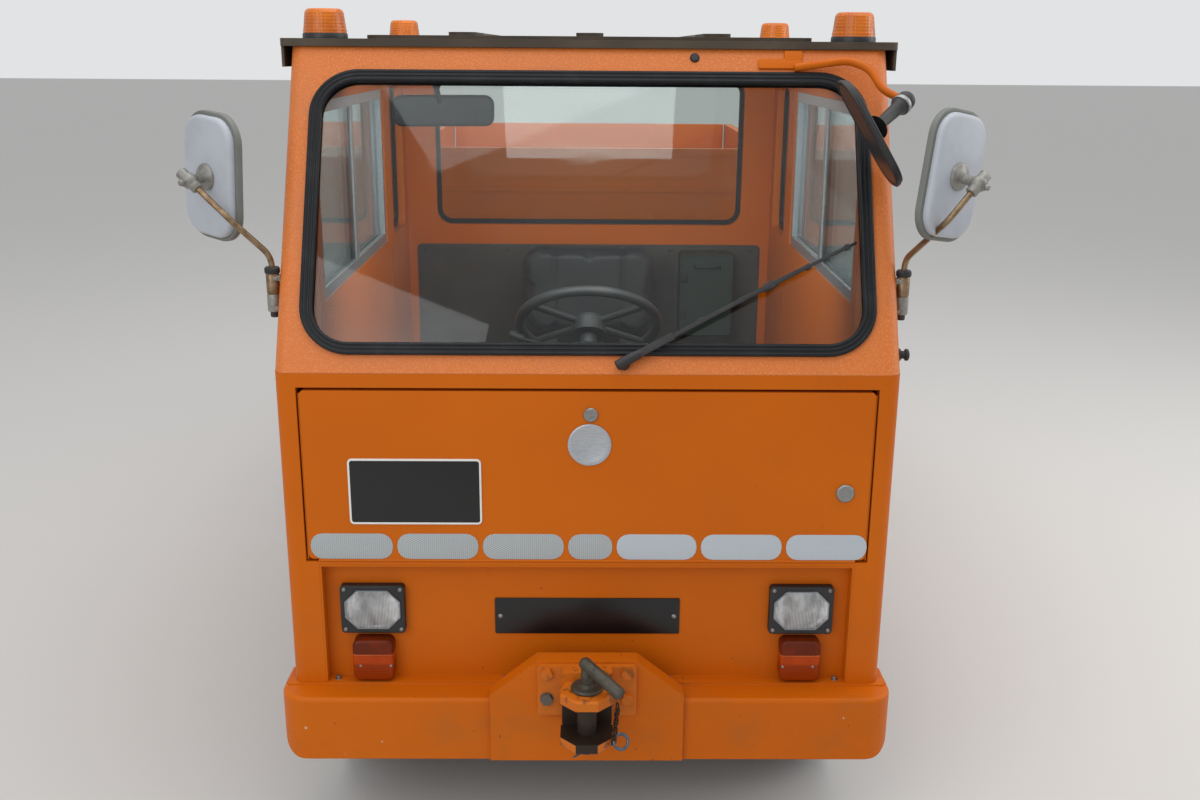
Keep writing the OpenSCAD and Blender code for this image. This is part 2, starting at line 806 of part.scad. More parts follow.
rear_seal_w = body_w - 240;
rear_seal_h = door_top - window_z - 16;
rear_seal_r = 60;
rear_seal_z = (door_top + window_z) / 2 - 2;
module at_rear_window() {
    translate([0, cab_len, rear_seal_z]) rotate([0, 0, 180]) children();
}
quarter_w = rear_in - quarter_s - 92;
quarter_h = door_top - window_z - 42;
quarter_r = min(50, quarter_w / 2 - 5);
quarter_z = (door_top + window_z) / 2 - 9;
module at_quarter_window() {
    translate([body_w / 2, (quarter_s + rear_in) / 2, quarter_z]) rotate([0, 0, 90]) children();
}
module window_seals() {
    color("#1d1d1d") placed() {
        on_slope() translate([0, 0, seal_mid]) seal(seal_w, seal_h, seal_r);
        at_rear_window() seal(rear_seal_w, rear_seal_h, rear_seal_r);
        both_sides() at_quarter_window() seal(quarter_w, quarter_h, quarter_r);
    }
}
module fixed_glass() {
    color(glass_tint) placed() {
        on_slope() translate([0, 0, seal_mid]) pane(seal_w, seal_h, seal_r);
        at_rear_window() pane(rear_seal_w, rear_seal_h, rear_seal_r);
        both_sides() at_quarter_window() pane(quarter_w, quarter_h, quarter_r);
    }
}
module window_hole(w, h, r) {
    translate([0, -over, 0]) upright(wall_t + 2 * over)
        round_rect(w - seal_face, h - seal_face, r - seal_face / 2);
}

rail_low = door_top + panel_gap;
roof_front = outer_s(roof_z) - 8;
roof_back = cab_len + 14;
module roof() {
    roof_w = body_w + 2 * roof_over;
    roof_mid = (roof_front + roof_back) / 2;
    raised_w = body_w - 290;
    color(dark) placed() {
        translate([0, roof_mid, roof_z]) linear_extrude(roof_t)
            round_rect(roof_w, roof_back - roof_front, 18);
        // raised middle with three pressed ribs
        translate([0, roof_mid, roof_z + roof_t - over]) linear_extrude(8 + over)
            round_rect(raised_w, roof_back - roof_front - 120, 50);
        for (x = [200 - raised_w / 2, 0, raised_w / 2 - 200])
            translate([x, roof_mid, roof_z + roof_t]) linear_extrude(16)
                round_rect(60, roof_back - roof_front - 260, 29);
        both_sides() {
            // side rail over the door, then the drip edge
            translate([inner_x, 0, 0]) across(wall_t) polygon([
                [inner_s(rail_low), rail_low], [rear_in, rail_low], [rear_in, roof_z],
                [inner_s(roof_z), roof_z]
            ]);
            span([roof_w / 2 - 6, roof_front + 20, roof_z - 42], [roof_w / 2, roof_back - 20, roof_z]);
        }
    }
}

step_top = sill_z - panel_gap;
module side_walls() {
    color(orange) placed() both_sides() difference() {
        span([inner_x, quarter_s, step_top], [body_w / 2, rear_in, rail_low]);
        at_quarter_window() window_hole(quarter_w, quarter_h, quarter_r);
    }
}
module rear_wall() {
    color(orange) placed() difference() {
        translate([0, 0, step_top]) linear_extrude(roof_z - step_top)
            translate([0, cab_len]) mirror([0, 1]) difference() {
                union() {
                    translate([-body_w / 2, corner_r]) square([body_w, wall_t - corner_r]);
                    translate([corner_r - body_w / 2, 0]) square([body_w - 2 * corner_r, wall_t]);
                    for (x = [-1, 1]) translate([x * (body_w / 2 - corner_r), corner_r]) circle(r = corner_r);
                }
                translate([-body_w, wall_t]) square([2 * body_w, corner_r * 2]);
            }
        at_rear_window() window_hole(rear_seal_w, rear_seal_h, rear_seal_r);
        // the rails pass below the cab floor
        span([-rail_x - rail_w / 2 - 5, rear_in - over, rail_z - 100],
             [rail_x + rail_w / 2 + 5, cab_len + over, rail_top + seal_face]);
    }
}

/* Doors */

// Corners of the door's outline, drawn in by i, as [s, z]
function slant_s(z, i) = outer_s(z) + (wall_t + panel_gap + i) / cos(lean);
function slant_z(s, i) = ridge_z + (s - body_s - (wall_t + panel_gap + i) / cos(lean)) / tan(lean);
function door_points(i, low) = [
    [door_s + i, low], [door_end - i, low], [door_end - i, door_top - i],
    [slant_s(door_top - i, i), door_top - i], [door_s + i, slant_z(door_s + i, i)]
];
glass_low = window_z + door_rim;
module door(side) {
    on_side(side) {
        difference() {
            translate([inner_x, 0, 0]) across(wall_t) polygon(door_points(0, sill_z));
            translate([inner_x - over, 0, 0]) across(wall_t + 2 * over)
                polygon(door_points(door_rim, glass_low - door_rim / 2));
            arch_cut(arch_r);
        }
        for (z = [hinge_low, hinge_high]) door_hinge(true, z);
        // handle on two feet
        for (ds = [0, 130])
            rod_x(body_w / 2 - over, body_w / 2 + 24, 7, door_end - 200 + ds, window_z - 60);
        rod_y(door_end - 214, door_end - 56, 9, body_w / 2 + 24, window_z - 60);
    }
}
module door_left() {
    color(orange) placed() door(1);
}
module door_right() {
    color(orange) placed() door(-1);
}

// Aluminium window frame with two sliding panes
bar = 26;
mid_post = 30;
pane_x = [inner_x + 10, inner_x + 18];
function window_points(i) = door_points(door_rim + i, glass_low - door_rim / 2 + i);
window_mid = (door_s + door_end) / 2;
module door_pane(row) {
    // row 0 is the front pane, row 1 the rear one
    translate([pane_x[row], 0, 0]) intersection() {
        across(glass_t) polygon(window_points(bar - 8));
        span([-over, row == 0 ? 0 : window_mid - mid_post / 2, 0],
             [glass_t + over, row == 0 ? window_mid + mid_post / 2 : body_len, roof_z]);
    }
}
module door_window(side) {
    on_side(side) difference() {
        union() {
            translate([inner_x + 4, 0, 0]) difference() {
                across(wall_t - 2) polygon(window_points(0));
                translate([-over, 0, 0]) across(wall_t) polygon(window_points(bar));
            }
            translate([inner_x + 6, 0, 0]) intersection() {
                across(26) polygon(window_points(bar - over));
                span([-over, window_mid - mid_post / 2, 0], [40, window_mid + mid_post / 2, roof_z]);
            }
        }
        for (row = [0, 1]) door_pane(row);
    }
}
module door_window_left() {
    color(light_grey) placed() door_window(1);
}
module door_window_right() {
    color(light_grey) placed() door_window(-1);
}
module door_glass_left() {
    color(glass_tint) placed() for (row = [0, 1]) door_pane(row);
}
module door_glass_right() {
    color(glass_tint) placed() on_side(-1) for (row = [0, 1]) door_pane(row);
}

/* Inside the cab */

floor_front = body_s + wall_t;
floor_half = inner_x - panel_gap;
module cab_floor() {
    color(dark) placed() {
        difference() {
            union() {
                span([-floor_half, floor_front, floor_z - floor_t], [floor_half, rear_in, floor_z]);
                // housings over the front wheels
                intersection() {
                    both_sides() difference() {
                        rod_x(liner_x - sheet_t, floor_half, liner_r, front_axle_s, axle_z);
                        rod_x(liner_x, inner_x + over, arch_r, front_axle_s, axle_z);
                    }
                    span([-body_w, floor_front, floor_z - floor_t], [body_w, body_len, roof_z]);
                }
            }
            both_sides() rod_x(liner_x, inner_x + over, arch_r, front_axle_s, axle_z);
        }
        // bulkhead between the front box and the driver's feet
        difference() {
            span([-floor_half, wall_s, floor_z - over], [floor_half, wall_s + 4, dash_low + 100]);
            both_sides() rod_x(liner_x - sheet_t - over, inner_x + over, liner_r - over,
                               front_axle_s, axle_z);
        }
    }
}

wall_s = 250;
dash_low = 900;
module dashboard() {
    top = ridge_z - 4;
    color(dark) placed() {
        translate([-floor_half, 0, 0]) across(2 * floor_half) polygon([
            [floor_front + 6, dash_low + 108], [floor_front + 6, top], [wall_s + 80, top],
            [wall_s + 180, top - 40], [wall_s + 200, dash_low + 40], [wall_s + 175, dash_low],
            [wall_s + 4, dash_low], [wall_s + 4, dash_low + 100],
            [wall_s, dash_low + 100], [wall_s, dash_low + 108]
        ]);
    }
}

column_dir = [0, sin(column_tilt), cos(column_tilt)];
module on_column() {
    translate([0, column_s, column_z]) rotate([-column_tilt, 0, 0]) children();
}
column_r = 22;
shaft_r = 9;
hub_low = 30;
module steering_column() {
    length = (column_z - floor_z) / cos(column_tilt) - column_r * tan(column_tilt) - 2;
    pedal_z = floor_z + 250;
    color(dark) placed() {
        on_column() {
            translate([0, 0, -length]) cylinder(h = length - hub_low - 5, r = column_r);
            translate([0, 0, -hub_low - 194]) cylinder(h = 150, r = 34);
            translate([0, 0, -hub_low - 10]) cylinder(h = hub_low, r = shaft_r);
        }
        // steering gear under the floor, round the drop arm's shaft
        difference() {
            union() {
                span([-45, drop_s - 52, gear_low + 16], [drop_x + 34, drop_s + 52, rail_top]);
                translate([drop_x, drop_s, gear_low]) cylinder(h = 30, r = 30);
            }
            translate([drop_x, drop_s, gear_low - over]) cylinder(h = 46, r = drop_shaft_r + fit);
        }
        // post that carries the column from the floor
        span([-14, column_s - 300, floor_z], [14, column_s - 270, floor_z + 150]);
        // brake and drive pedals, hung from the bulkhead
        for (x = [-170, -80]) {
            span([x - 14, wall_s + 4, pedal_z - 16], [x + 14, wall_s + 30, pedal_z + 16]);
            tube([x, wall_s + 20, pedal_z], [x, wall_s + 100, floor_z + 100], 6);
            translate([x, wall_s + 104, floor_z + 98]) rotate([-50, 0, 0])
                translate([-32, -50, -5]) cube([64, 100, 10]);
        }
    }
}
module steering_wheel() {
    spoke_r = 9;
    color("#1d1d1d") placed() on_column() difference() {
        union() {
            rotate_extrude() translate([wheel_d / 2 - grip_r, 0]) circle(r = grip_r, $fn = 20);
            translate([0, 0, -hub_low]) cylinder(h = hub_low + 4, r = 44);
            for (a = [35, 145, 215, 325])
                rotate([0, 0, a]) translate([20, 0, 0]) rotate([0, 90, 0])
                    cylinder(h = wheel_d / 2 - grip_r - 20, r = spoke_r);
        }
        translate([0, 0, -hub_low - over]) cylinder(h = hub_low - 4, r = shaft_r + fit);
    }
}

seat_s = rear_in - 650;
module seat_base() {
    color(dark) placed() {
        span([-165, seat_s + 40, floor_z], [165, seat_s + 370, floor_z + 170]);
        span([-190, seat_s + 10, floor_z + 170], [190, seat_s + 410, floor_z + 200]);
        for (x = [-120, 120])
            span([x - 20, seat_s + 406, floor_z + 180], [x + 20, seat_s + 460, floor_z + 196]);
        for (x = [-120, 120])
            span([x - 20, seat_s + 454, floor_z + 180], [x + 20, seat_s + 462, floor_z + 430]);
    }
}
cushion_t = 105;
cushion_w = 470;
cushion_l = 420;
module seat_cushion() {
    color("#222222") placed()
        translate([0, seat_s + cushion_l / 2 - 5, floor_z + 200 + seat_gap]) linear_extrude(cushion_t)
            round_rect(cushion_w, cushion_l, 60);
}
back_w = 450;
back_h = 310;
back_t = 85;
module seat_back() {
    color("#222222") placed()
        translate([0, seat_s + 454 - back_t - seat_gap, floor_z + 200 + cushion_t + 2 + back_h / 2])
            upright(back_t) round_rect(back_w, back_h, 80);
}

aid_w = 172;
aid_h = 266;
aid_d = 90;
module first_aid_box() {
    color("#24302a") placed()
        translate([inner_x - 121 - aid_w / 2, rear_in - aid_d, window_z - 196]) upright(aid_d)
            round_rect(aid_w, aid_h, 14);
}

/* Lamps, mirrors and wiper */

lamp_w = 136;
lamp_h = 113;
module headlights() {
    back = body_s + recess_d;
    color(dark) placed() both_sides() {
        translate([lamp_x, back - 18, lamp_z]) upright(18) difference() {
            round_rect(lamp_w, lamp_h, 9);
            square([96, 78], center = true);
        }
        translate([lamp_x, back - 20, lamp_z]) upright(20) intersection() {
            square([96, 78], center = true);
            rotate(45) square([112, 112], center = true);
        }
    }
}
module indicators() {
    back = body_s + recess_d;
    low = cab_bottom + 9;
    high = lamp_z - lamp_h / 2 - 5;
    color("#d06010") placed() both_sides()
        translate([lamp_x + 2, back - 34, (low + high) / 2]) upright(34) round_rect(88, high - low, 9);
}
module roof_lamps() {
    top = roof_z + roof_t;
    color("#e08a10") placed() both_sides() for (s = [roof_front + 106, roof_back - 102])
        translate([body_w / 2 - 55, s, top]) {
            cylinder(h = 14, r = 48);
            translate([0, 0, 14]) cylinder(h = 48, r1 = 44, r2 = 37);
        }
}
module tail_lamps() {
    color("#a01810") placed() both_sides()
        translate([bed_w / 2 - 130, body_len, rail_z + 88]) upright(34) round_rect(150, 92, 10);
}

mirror_s = body_s + 117;
bracket_x = body_w / 2 + 16;
module tube(a, b, r) {
    d = b - a;
    length = norm(d);
    translate(a) rotate([0, acos(d[2] / length), atan2(d[1], d[0])]) cylinder(h = length, r = r);
}
module bent_tube(points, r) {
    for (i = [0:len(points) - 2]) tube(points[i], points[i + 1], r);
    for (i = [1:len(points) - 2]) translate(points[i]) sphere(r = r + 0.8);
}
mirror_w = 178;
mirror_h = 266;
mirror_r = 62;
mirror_turn = 37;
clamp_gap = 45;
module mirror_head(lean_out) {
    crown_r = 300;
    crown_d = 16;
    rotate([0, 0, mirror_turn]) rotate([0, lean_out, 0]) {
        rod_y(-7, 4, 27, 0, 0);
        intersection() {
            upright(crown_d) round_rect(mirror_w - 20, mirror_h - 20, mirror_r - 10);
            translate([0, crown_r, -mirror_h / 2]) cylinder(h = mirror_h, r = crown_r);
        }
        translate([0, crown_d - 2, 0]) upright(12) round_rect(mirror_w, mirror_h, mirror_r);
    }
}
module mirrors() {
    arm_reach = 146;
    arm_r = 8;
    sleeve_low = ridge_z + 89;
    sleeve_h = 99;
    bend = [bracket_x, mirror_s, sleeve_low + sleeve_h + 25];
    // side, swing of the arm towards the front, rise of the clamp, lean of the head's top outwards
    arms = [[1, 46, 164, 9], [-1, 8, 152, -5]];
    inside_z = roof_z - 132;
    stem_z = roof_z - 59;
    color(light_grey) placed() {
        for (arm = arms) on_side(arm[0]) {
            clamp = bend + [arm_reach * cos(arm[1]), -arm_reach * sin(arm[1]), arm[2]];
            head = clamp + [-clamp_gap * sin(mirror_turn), clamp_gap * cos(mirror_turn), 10];
            along = (clamp - bend) / norm(clamp - bend);
            // pivot sleeve on the pillar, then the arm in front of the head
            translate([bracket_x, mirror_s, sleeve_low]) cylinder(h = sleeve_h, r = 13);
            for (z = [sleeve_low + 13, sleeve_low + 75])
                span([body_w / 2, mirror_s - 8, z], [bracket_x, mirror_s + 8, z + 12]);
            bent_tube([[bracket_x, mirror_s, sleeve_low + sleeve_h - 6], bend, clamp], arm_r);
            tube(clamp - 24 * along, clamp + 26 * along, 11.5);
            translate(clamp) sphere(r = 16.5);
            tube(clamp, head, 10);
            translate(head) mirror_head(arm[3]);
        }
        // inside mirror on its stem
        translate([-316, 440, inside_z]) rotate([0, 0, 8]) upright(20) round_rect(218, 66, 20);
        tube([-330, inner_s(stem_z) + 3, stem_z], [-318, 450, inside_z + 8], 6);
        on_slope() translate([-330, wall_t, (stem_z - ridge_z) / cos(lean) + 20]) upright(8)
            round_rect(40, 40, 6);
    }
}

module ramp_mirror() {
    side_x = body_w / 2;
    plate_z = roof_z - 29;
    ball = [side_x + 15, outer_s(plate_z) - 99, plate_z - 83];
    color(dark) placed() {
        on_slope() translate([side_x - 241, -9, slope_len - 28]) upright(9) round_rect(134, 40, 8);
        bent_tube([
            [side_x - 185, outer_s(plate_z) - 12, plate_z],
            [side_x - 35, outer_s(plate_z) - 25, plate_z - 6],
            [side_x + 7, outer_s(plate_z) - 44, plate_z - 44], ball
        ], 8);
        translate(ball) sphere(r = 20);
        tube(ball, ball + [-55, -72, -47], 10);
        translate(ball + [-63, -84, -54]) rotate([0, 58.3, 0]) translate([0, 0, -7])
            linear_extrude(14) round_rect(236, 130, 52);
    }
}

module wiper() {
    color(dark) placed() on_slope() {
        pivot = [70, -16, 22];
        tip = [seal_w / 2 - 35.5, -3, 274];
        joint = tip - [181, 21, 95];
        translate([70, -24, 22]) rotate([-90, 0, 0]) cylinder(h = 24, r = 13);
        tube(pivot, joint, 6);
        tube(tip - [336, 0, 175], tip, 7);
        tube(joint, [joint[0], -4, joint[2]], 8);
    }
}

/* Steps, bed and guards */

module steps() {
    step_start = front_axle_s + arch_r + 10;
    color(dark) placed() both_sides() {
        span([sill_x, step_start, step_top - 56], [sill_x + 52, cab_len - 6, step_top]);
        span([sill_x - 110, step_start + 20, step_top - 12], [sill_x + over, quarter_s, step_top]);
        for (s = [step_start + 60, quarter_s - 60, rear_in - 40])
            span([rail_x + rail_w / 2, s - 20, rail_z + 2], [sill_x + over, s + 20, step_top - 12 + over]);
    }
}

edge_w = 40;
// The boards stand over a ledge around the floor
ledge_h = 3;
latch_l = 58;
latch_h = 26;
latch_t = 10;
keeper_w = 22;
keeper_z = board_top - 52;
board_axis_z = bed_z + panel_gap / 2;
hinge_places = [0.14, 0.5, 0.86];
board_s0 = bed_s + board_t + panel_gap;
board_s1 = bed_end - post_w - panel_gap;
gate_half = bed_w / 2 - board_t - panel_gap;
module at_board_hinges() {
    for (place = hinge_places)
        translate([bed_w / 2 + hinge_off, board_s0 + place * (board_s1 - board_s0), board_axis_z])
            rotate([90, 0, 0]) children();
}
module at_gate_hinges() {
    for (place = hinge_places)
        translate([(2 * place - 1) * gate_half, bed_end + hinge_off, board_axis_z])
            rotate([90, 0, 90]) children();
}
module bed_frame() {
    color(orange) placed() {
        difference() {
            union() {
                span([-bed_w / 2, bed_s, bed_under], [bed_w / 2, bed_end, bed_z - ledge_h]);
                span([board_t + 4 - bed_w / 2, bed_s + board_t + seat_gap, bed_under],
                     [bed_w / 2 - board_t - 4, bed_end - board_t - 4, bed_z]);
            }
            // open cells between the edge and the long ribs
            for (cell = [[edge_w - bed_w / 2, -rail_x - 30], [30 - rail_x, rail_x - 30],
                         [rail_x + 30, bed_w / 2 - edge_w]])
                span([cell[0], bed_s + edge_w, bed_under - over],
                     [cell[1], bed_end - edge_w, bed_z - ledge_h - sheet_t]);
        }
        both_sides() {
            span([bed_w / 2 - board_t, bed_end - post_w, bed_z - ledge_h - over],
                 [bed_w / 2, bed_end, board_top]);
            at_board_hinges() hinge_half(false);
            // keepers for the latches of the side board and the tailgate
            span([bed_w / 2 - over, bed_end - post_w + 2, keeper_z],
                 [bed_w / 2 + latch_t, bed_end - post_w + 2 + keeper_w, keeper_z + latch_h]);
            span([bed_w / 2 - board_t + 2, bed_end - over, keeper_z],
                 [bed_w / 2 - board_t + 2 + keeper_w, bed_end + latch_t, keeper_z + latch_h]);
        }
        at_gate_hinges() hinge_half(false);
    }
}

// Board drawn along X from 0 to length and up from z = 0, outer face at y = 0, inwards at +Y
module board(length, height) {
    groove = 8;
    pitch = height / 4;
    difference() {
        cube([length, board_t, height]);
        for (row = [0:3])
            translate([length / 2, -over, pitch * (row + 0.5)]) upright(groove + over)
                round_rect(length - 110, pitch - 44, 14);
    }
    // latches at both ends, handles further in
    for (x = [0, length - latch_l])
        translate([x, -latch_t, height - 52]) cube([latch_l, latch_t + over, latch_h]);
    for (x = [110, length - 110])
        translate([x - 9, -12, height - 90]) cube([18, 12 + groove + over, 60]);
}
module side_board(side) {
    on_side(side) {
        translate([bed_w / 2, board_s0, board_z]) rotate([0, 0, 90])
            board(board_s1 - board_s0, board_top - board_z);
        at_board_hinges() hinge_half(true);
    }
}
module side_board_left() {
    color(orange) placed() side_board(1);
}
module side_board_right() {
    color(orange) placed() side_board(-1);
}
module tailgate() {
    color(orange) placed() {
        translate([gate_half, bed_end, board_z]) rotate([0, 0, 180])
            board(2 * gate_half, board_top - board_z);
        at_gate_hinges() hinge_half(true);
    }
}
module bulkhead() {
    bead_z = 478;
    color(orange) placed() {
        both_sides()
            span([bed_w / 2 - over, bed_s + board_t - 2 - keeper_w, keeper_z],
                 [bed_w / 2 + latch_t, bed_s + board_t - 2, keeper_z + latch_h]);
        difference() {
            span([-bed_w / 2, bed_s, bed_z - ledge_h], [bed_w / 2, bed_s + board_t, board_top]);
            for (row = [[bed_z + 40, bed_z + bead_z - 8], [bed_z + bead_z + 8, board_top - 24]])
                translate([0, bed_s - over, (row[0] + row[1]) / 2]) upright(6 + over)
                    round_rect(bed_w - 60, row[1] - row[0], 10);
        }
    }
}

module mudguards() {
    guard_r = tyre_r + 60;
    guard_in = track_half - tyre_w / 2 - 10;
    guard_x = bed_w / 2 - 10;
    color(dark) placed() both_sides() intersection() {
        difference() {
            union() {
                rod_x(guard_in, guard_x, guard_r + sheet_t, rear_axle_s, axle_z);
                for (s = [rear_axle_s - 150, rear_axle_s + 150])
                    span([guard_x - 26, s - 20, axle_z], [guard_x, s + 20, bed_under]);
            }
            rod_x(guard_in - over, guard_x + over, guard_r, rear_axle_s, axle_z);
        }
        span([0, rear_axle_s - guard_r, axle_z + 60], [body_w, rear_axle_s + guard_r, bed_under]);
    }
}

chassis();
frame_brackets();
leaf_springs();
front_bumper();
hitch_plate();
tow_jaws();
rear_beam();
coupling_pins();
front_axle();
rear_axle();
knuckle_left();
knuckle_right();
tie_rod();
drop_arm();
rim_front_left();
rim_front_right();
rim_rear_left();
rim_rear_right();
tyre_front_left();
tyre_front_right();
tyre_rear_left();
tyre_rear_right();
battery();
cab_floor();
cab_front();
lamp_recess();
front_lid();
windscreen_frame();
window_seals();
fixed_glass();
roof();
side_walls();
rear_wall();
door_left();
door_right();
door_window_left();
door_window_right();
door_glass_left();
door_glass_right();
dashboard();
steering_column();
steering_wheel();
seat_base();
seat_cushion();
seat_back();
first_aid_box();
headlights();
indicators();
roof_lamps();
tail_lamps();
mirrors();
ramp_mirror();
wiper();
steps();
bed_frame();
bulkhead();
side_board_left();
side_board_right();
tailgate();
mudguards();
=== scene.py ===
import json
import math

import bmesh
import bpy
from mathutils import Matrix, Vector


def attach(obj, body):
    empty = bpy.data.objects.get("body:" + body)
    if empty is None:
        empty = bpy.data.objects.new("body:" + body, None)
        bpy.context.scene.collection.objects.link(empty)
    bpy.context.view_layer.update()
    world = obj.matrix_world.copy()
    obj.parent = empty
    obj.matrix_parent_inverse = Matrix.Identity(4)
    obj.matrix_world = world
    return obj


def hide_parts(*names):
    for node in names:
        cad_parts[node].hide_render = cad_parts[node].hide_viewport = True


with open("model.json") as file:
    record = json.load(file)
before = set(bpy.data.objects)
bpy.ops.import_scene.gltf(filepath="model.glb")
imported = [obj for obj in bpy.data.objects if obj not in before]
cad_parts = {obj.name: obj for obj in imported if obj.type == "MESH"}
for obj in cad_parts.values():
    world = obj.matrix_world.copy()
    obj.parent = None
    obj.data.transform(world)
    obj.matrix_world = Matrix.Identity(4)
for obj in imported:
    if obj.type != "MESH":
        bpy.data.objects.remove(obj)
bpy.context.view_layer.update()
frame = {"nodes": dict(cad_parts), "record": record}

# Row frame: lengths in mm along the vehicle are counted from the bumper's front face
bumperY = -1594
foldPlace = (0, 60, 1048)
leanAngle = math.atan2(316, 621)


def point(x, s, z):
    return Vector((x, s + bumperY, z)) / 1000


def srgb(red, green, blue):
    def linear(value):
        value /= 255
        return value / 12.92 if value <= 0.04045 else ((value + 0.055) / 1.055) ** 2.4
    return (linear(red), linear(green), linear(blue), 1)


# Placing: local X across, local Y up the face, local Z out of it
def facing(at, out, up=(0, 0, 1)):
    normal = Vector(out).normalized()
    across = Vector(up).cross(normal).normalized()
    rise = normal.cross(across)
    tilt = Matrix((across, rise, normal)).transposed().to_4x4()
    return Matrix.Translation(at) @ tilt


# Front faces that small pieces sit on: the lid's, and the lamp recess's
lidFace = 60
recessFace = 90
slopeUp = (0, math.sin(leanAngle), math.cos(leanAngle))
slopeOut = (0, -math.cos(leanAngle), math.sin(leanAngle))


def onSlope(x, w, out):
    foot = point(*foldPlace)
    at = foot + (Vector((x, 0, 0)) + Vector(slopeUp) * w + Vector(slopeOut) * out) / 1000
    return facing(at, slopeOut, slopeUp)


def onFront(x, z, s):
    return facing(point(x, s, z), (0, -1, 0))


def mirrored(matrix):
    return Matrix.Diagonal((-1, 1, 1, 1)) @ matrix @ Matrix.Diagonal((-1, 1, 1, 1))


def standing(x, s, z):
    return Matrix.Translation(point(x, s, z))


def turn(angle, axis):
    return Matrix.Rotation(math.radians(angle), 4, axis)


def shift(x, y, z):
    return Matrix.Translation((x / 1000, y / 1000, z / 1000))


# Frames for upright shapes: local Z towards the rear, or towards the front
toRear = Matrix(((-1, 0, 0), (0, 0, 1), (0, 1, 0))).to_4x4()
toFront = Matrix(((1, 0, 0), (0, 0, -1), (0, 1, 0))).to_4x4()


# Shader maths on wrapped sockets
def feed(tree, port, value):
    if isinstance(value, Signal):
        tree.links.new(value.socket, port)
    else:
        port.default_value = value


def operator(operation, reflected=False):
    def method(self, other):
        return self.combine(operation, *((other, self) if reflected else (self, other)))
    return method


class Signal:
    def __init__(self, tree, socket):
        self.tree = tree
        self.socket = socket

    def combine(self, operation, *terms):
        made = self.tree.nodes.new("ShaderNodeMath")
        made.operation = operation
        for port, term in zip(made.inputs, terms):
            feed(self.tree, port, term)
        return Signal(self.tree, made.outputs[0])

    __add__, __radd__ = operator("ADD"), operator("ADD", True)
    __sub__, __rsub__ = operator("SUBTRACT"), operator("SUBTRACT", True)
    __mul__, __rmul__ = operator("MULTIPLY"), operator("MULTIPLY", True)
    __truediv__ = operator("DIVIDE")

    def cos(self):
        return self.combine("COSINE", self)

    def distance(self):
        return self.combine("ABSOLUTE", self)

    def larger(self, other):
        return self.combine("MAXIMUM", self, other)

    def smaller(self, other):
        return self.combine("MINIMUM", self, other)


class Finish:
    def __init__(self, name, color, roughness, metallic=0.0):
        self.material = bpy.data.materials.new(name)
        self.material.use_nodes = True
        self.tree = self.material.node_tree
        self.shader = self.tree.nodes["Principled BSDF"]
        self.place = self.node("TexCoord", output="Object")
        self.set("Base Color", color)
        self.set("Roughness", roughness)
        self.set("Metallic", metallic)
        self.color = color

    def node(self, kind, settings=None, inputs=None, output=0):
        made = self.tree.nodes.new("ShaderNode" + kind)
        for key, value in (settings or {}).items():
            setattr(made, key, value)
        for key, value in (inputs or {}).items():
            feed(self.tree, made.inputs[key], value)
        return Signal(self.tree, made.outputs[output])

    def set(self, port, value):
        feed(self.tree, self.shader.inputs[port], value)

    def noise(self, scale, detail=3.0, rough=0.55, stretch=None):
        place = self.place
        if stretch:
            place = self.node("VectorMath", {"operation": "MULTIPLY"}, {0: place, 1: stretch})
        return self.node("TexNoise", None, {
            "Vector": place, "Scale": scale, "Detail": detail, "Roughness": rough})

    def axis(self, index):
        return self.node("SeparateXYZ", None, {0: self.place}, index)

    # Distance in metres from a spot given in the row frame
    def reach(self, x, s, z):
        return self.node("VectorMath", {"operation": "DISTANCE"},
                         {0: self.place, 1: point(x, s, z)}, 1)

    def ramp(self, value, low, high):
        return self.node("MapRange", {"interpolation_type": "SMOOTHSTEP"}, {
            "Value": value, "From Min": low, "From Max": high})

    # Another color over the ones so far, as strong as the factor
    def tint(self, factor, color):
        self.color = self.node("Mix", {"data_type": "RGBA"},
                               {0: factor, 6: self.color, 7: color}, 2)
        self.set("Base Color", self.color)

    # Blotches of a second color where the noise is high
    def patches(self, color, amount, low, high, scale, detail=3.0, rough=0.55):
        self.tint(self.ramp(self.noise(scale, detail, rough), low, high) * amount, color)

    def dull(self, base, spread, scale):
        self.set("Roughness", base + self.noise(scale) * spread)

    # Rounded edges for the flat-shaded solids, then the surface's own relief on top
    def relief(self, height, strength, distance, edge=0.0):
        inputs = {"Height": height, "Strength": strength, "Distance": distance}
        if edge:
            inputs["Normal"] = self.node("Bevel", {"samples": 4}, {"Radius": edge})
        self.set("Normal", self.node("Bump", None, inputs))


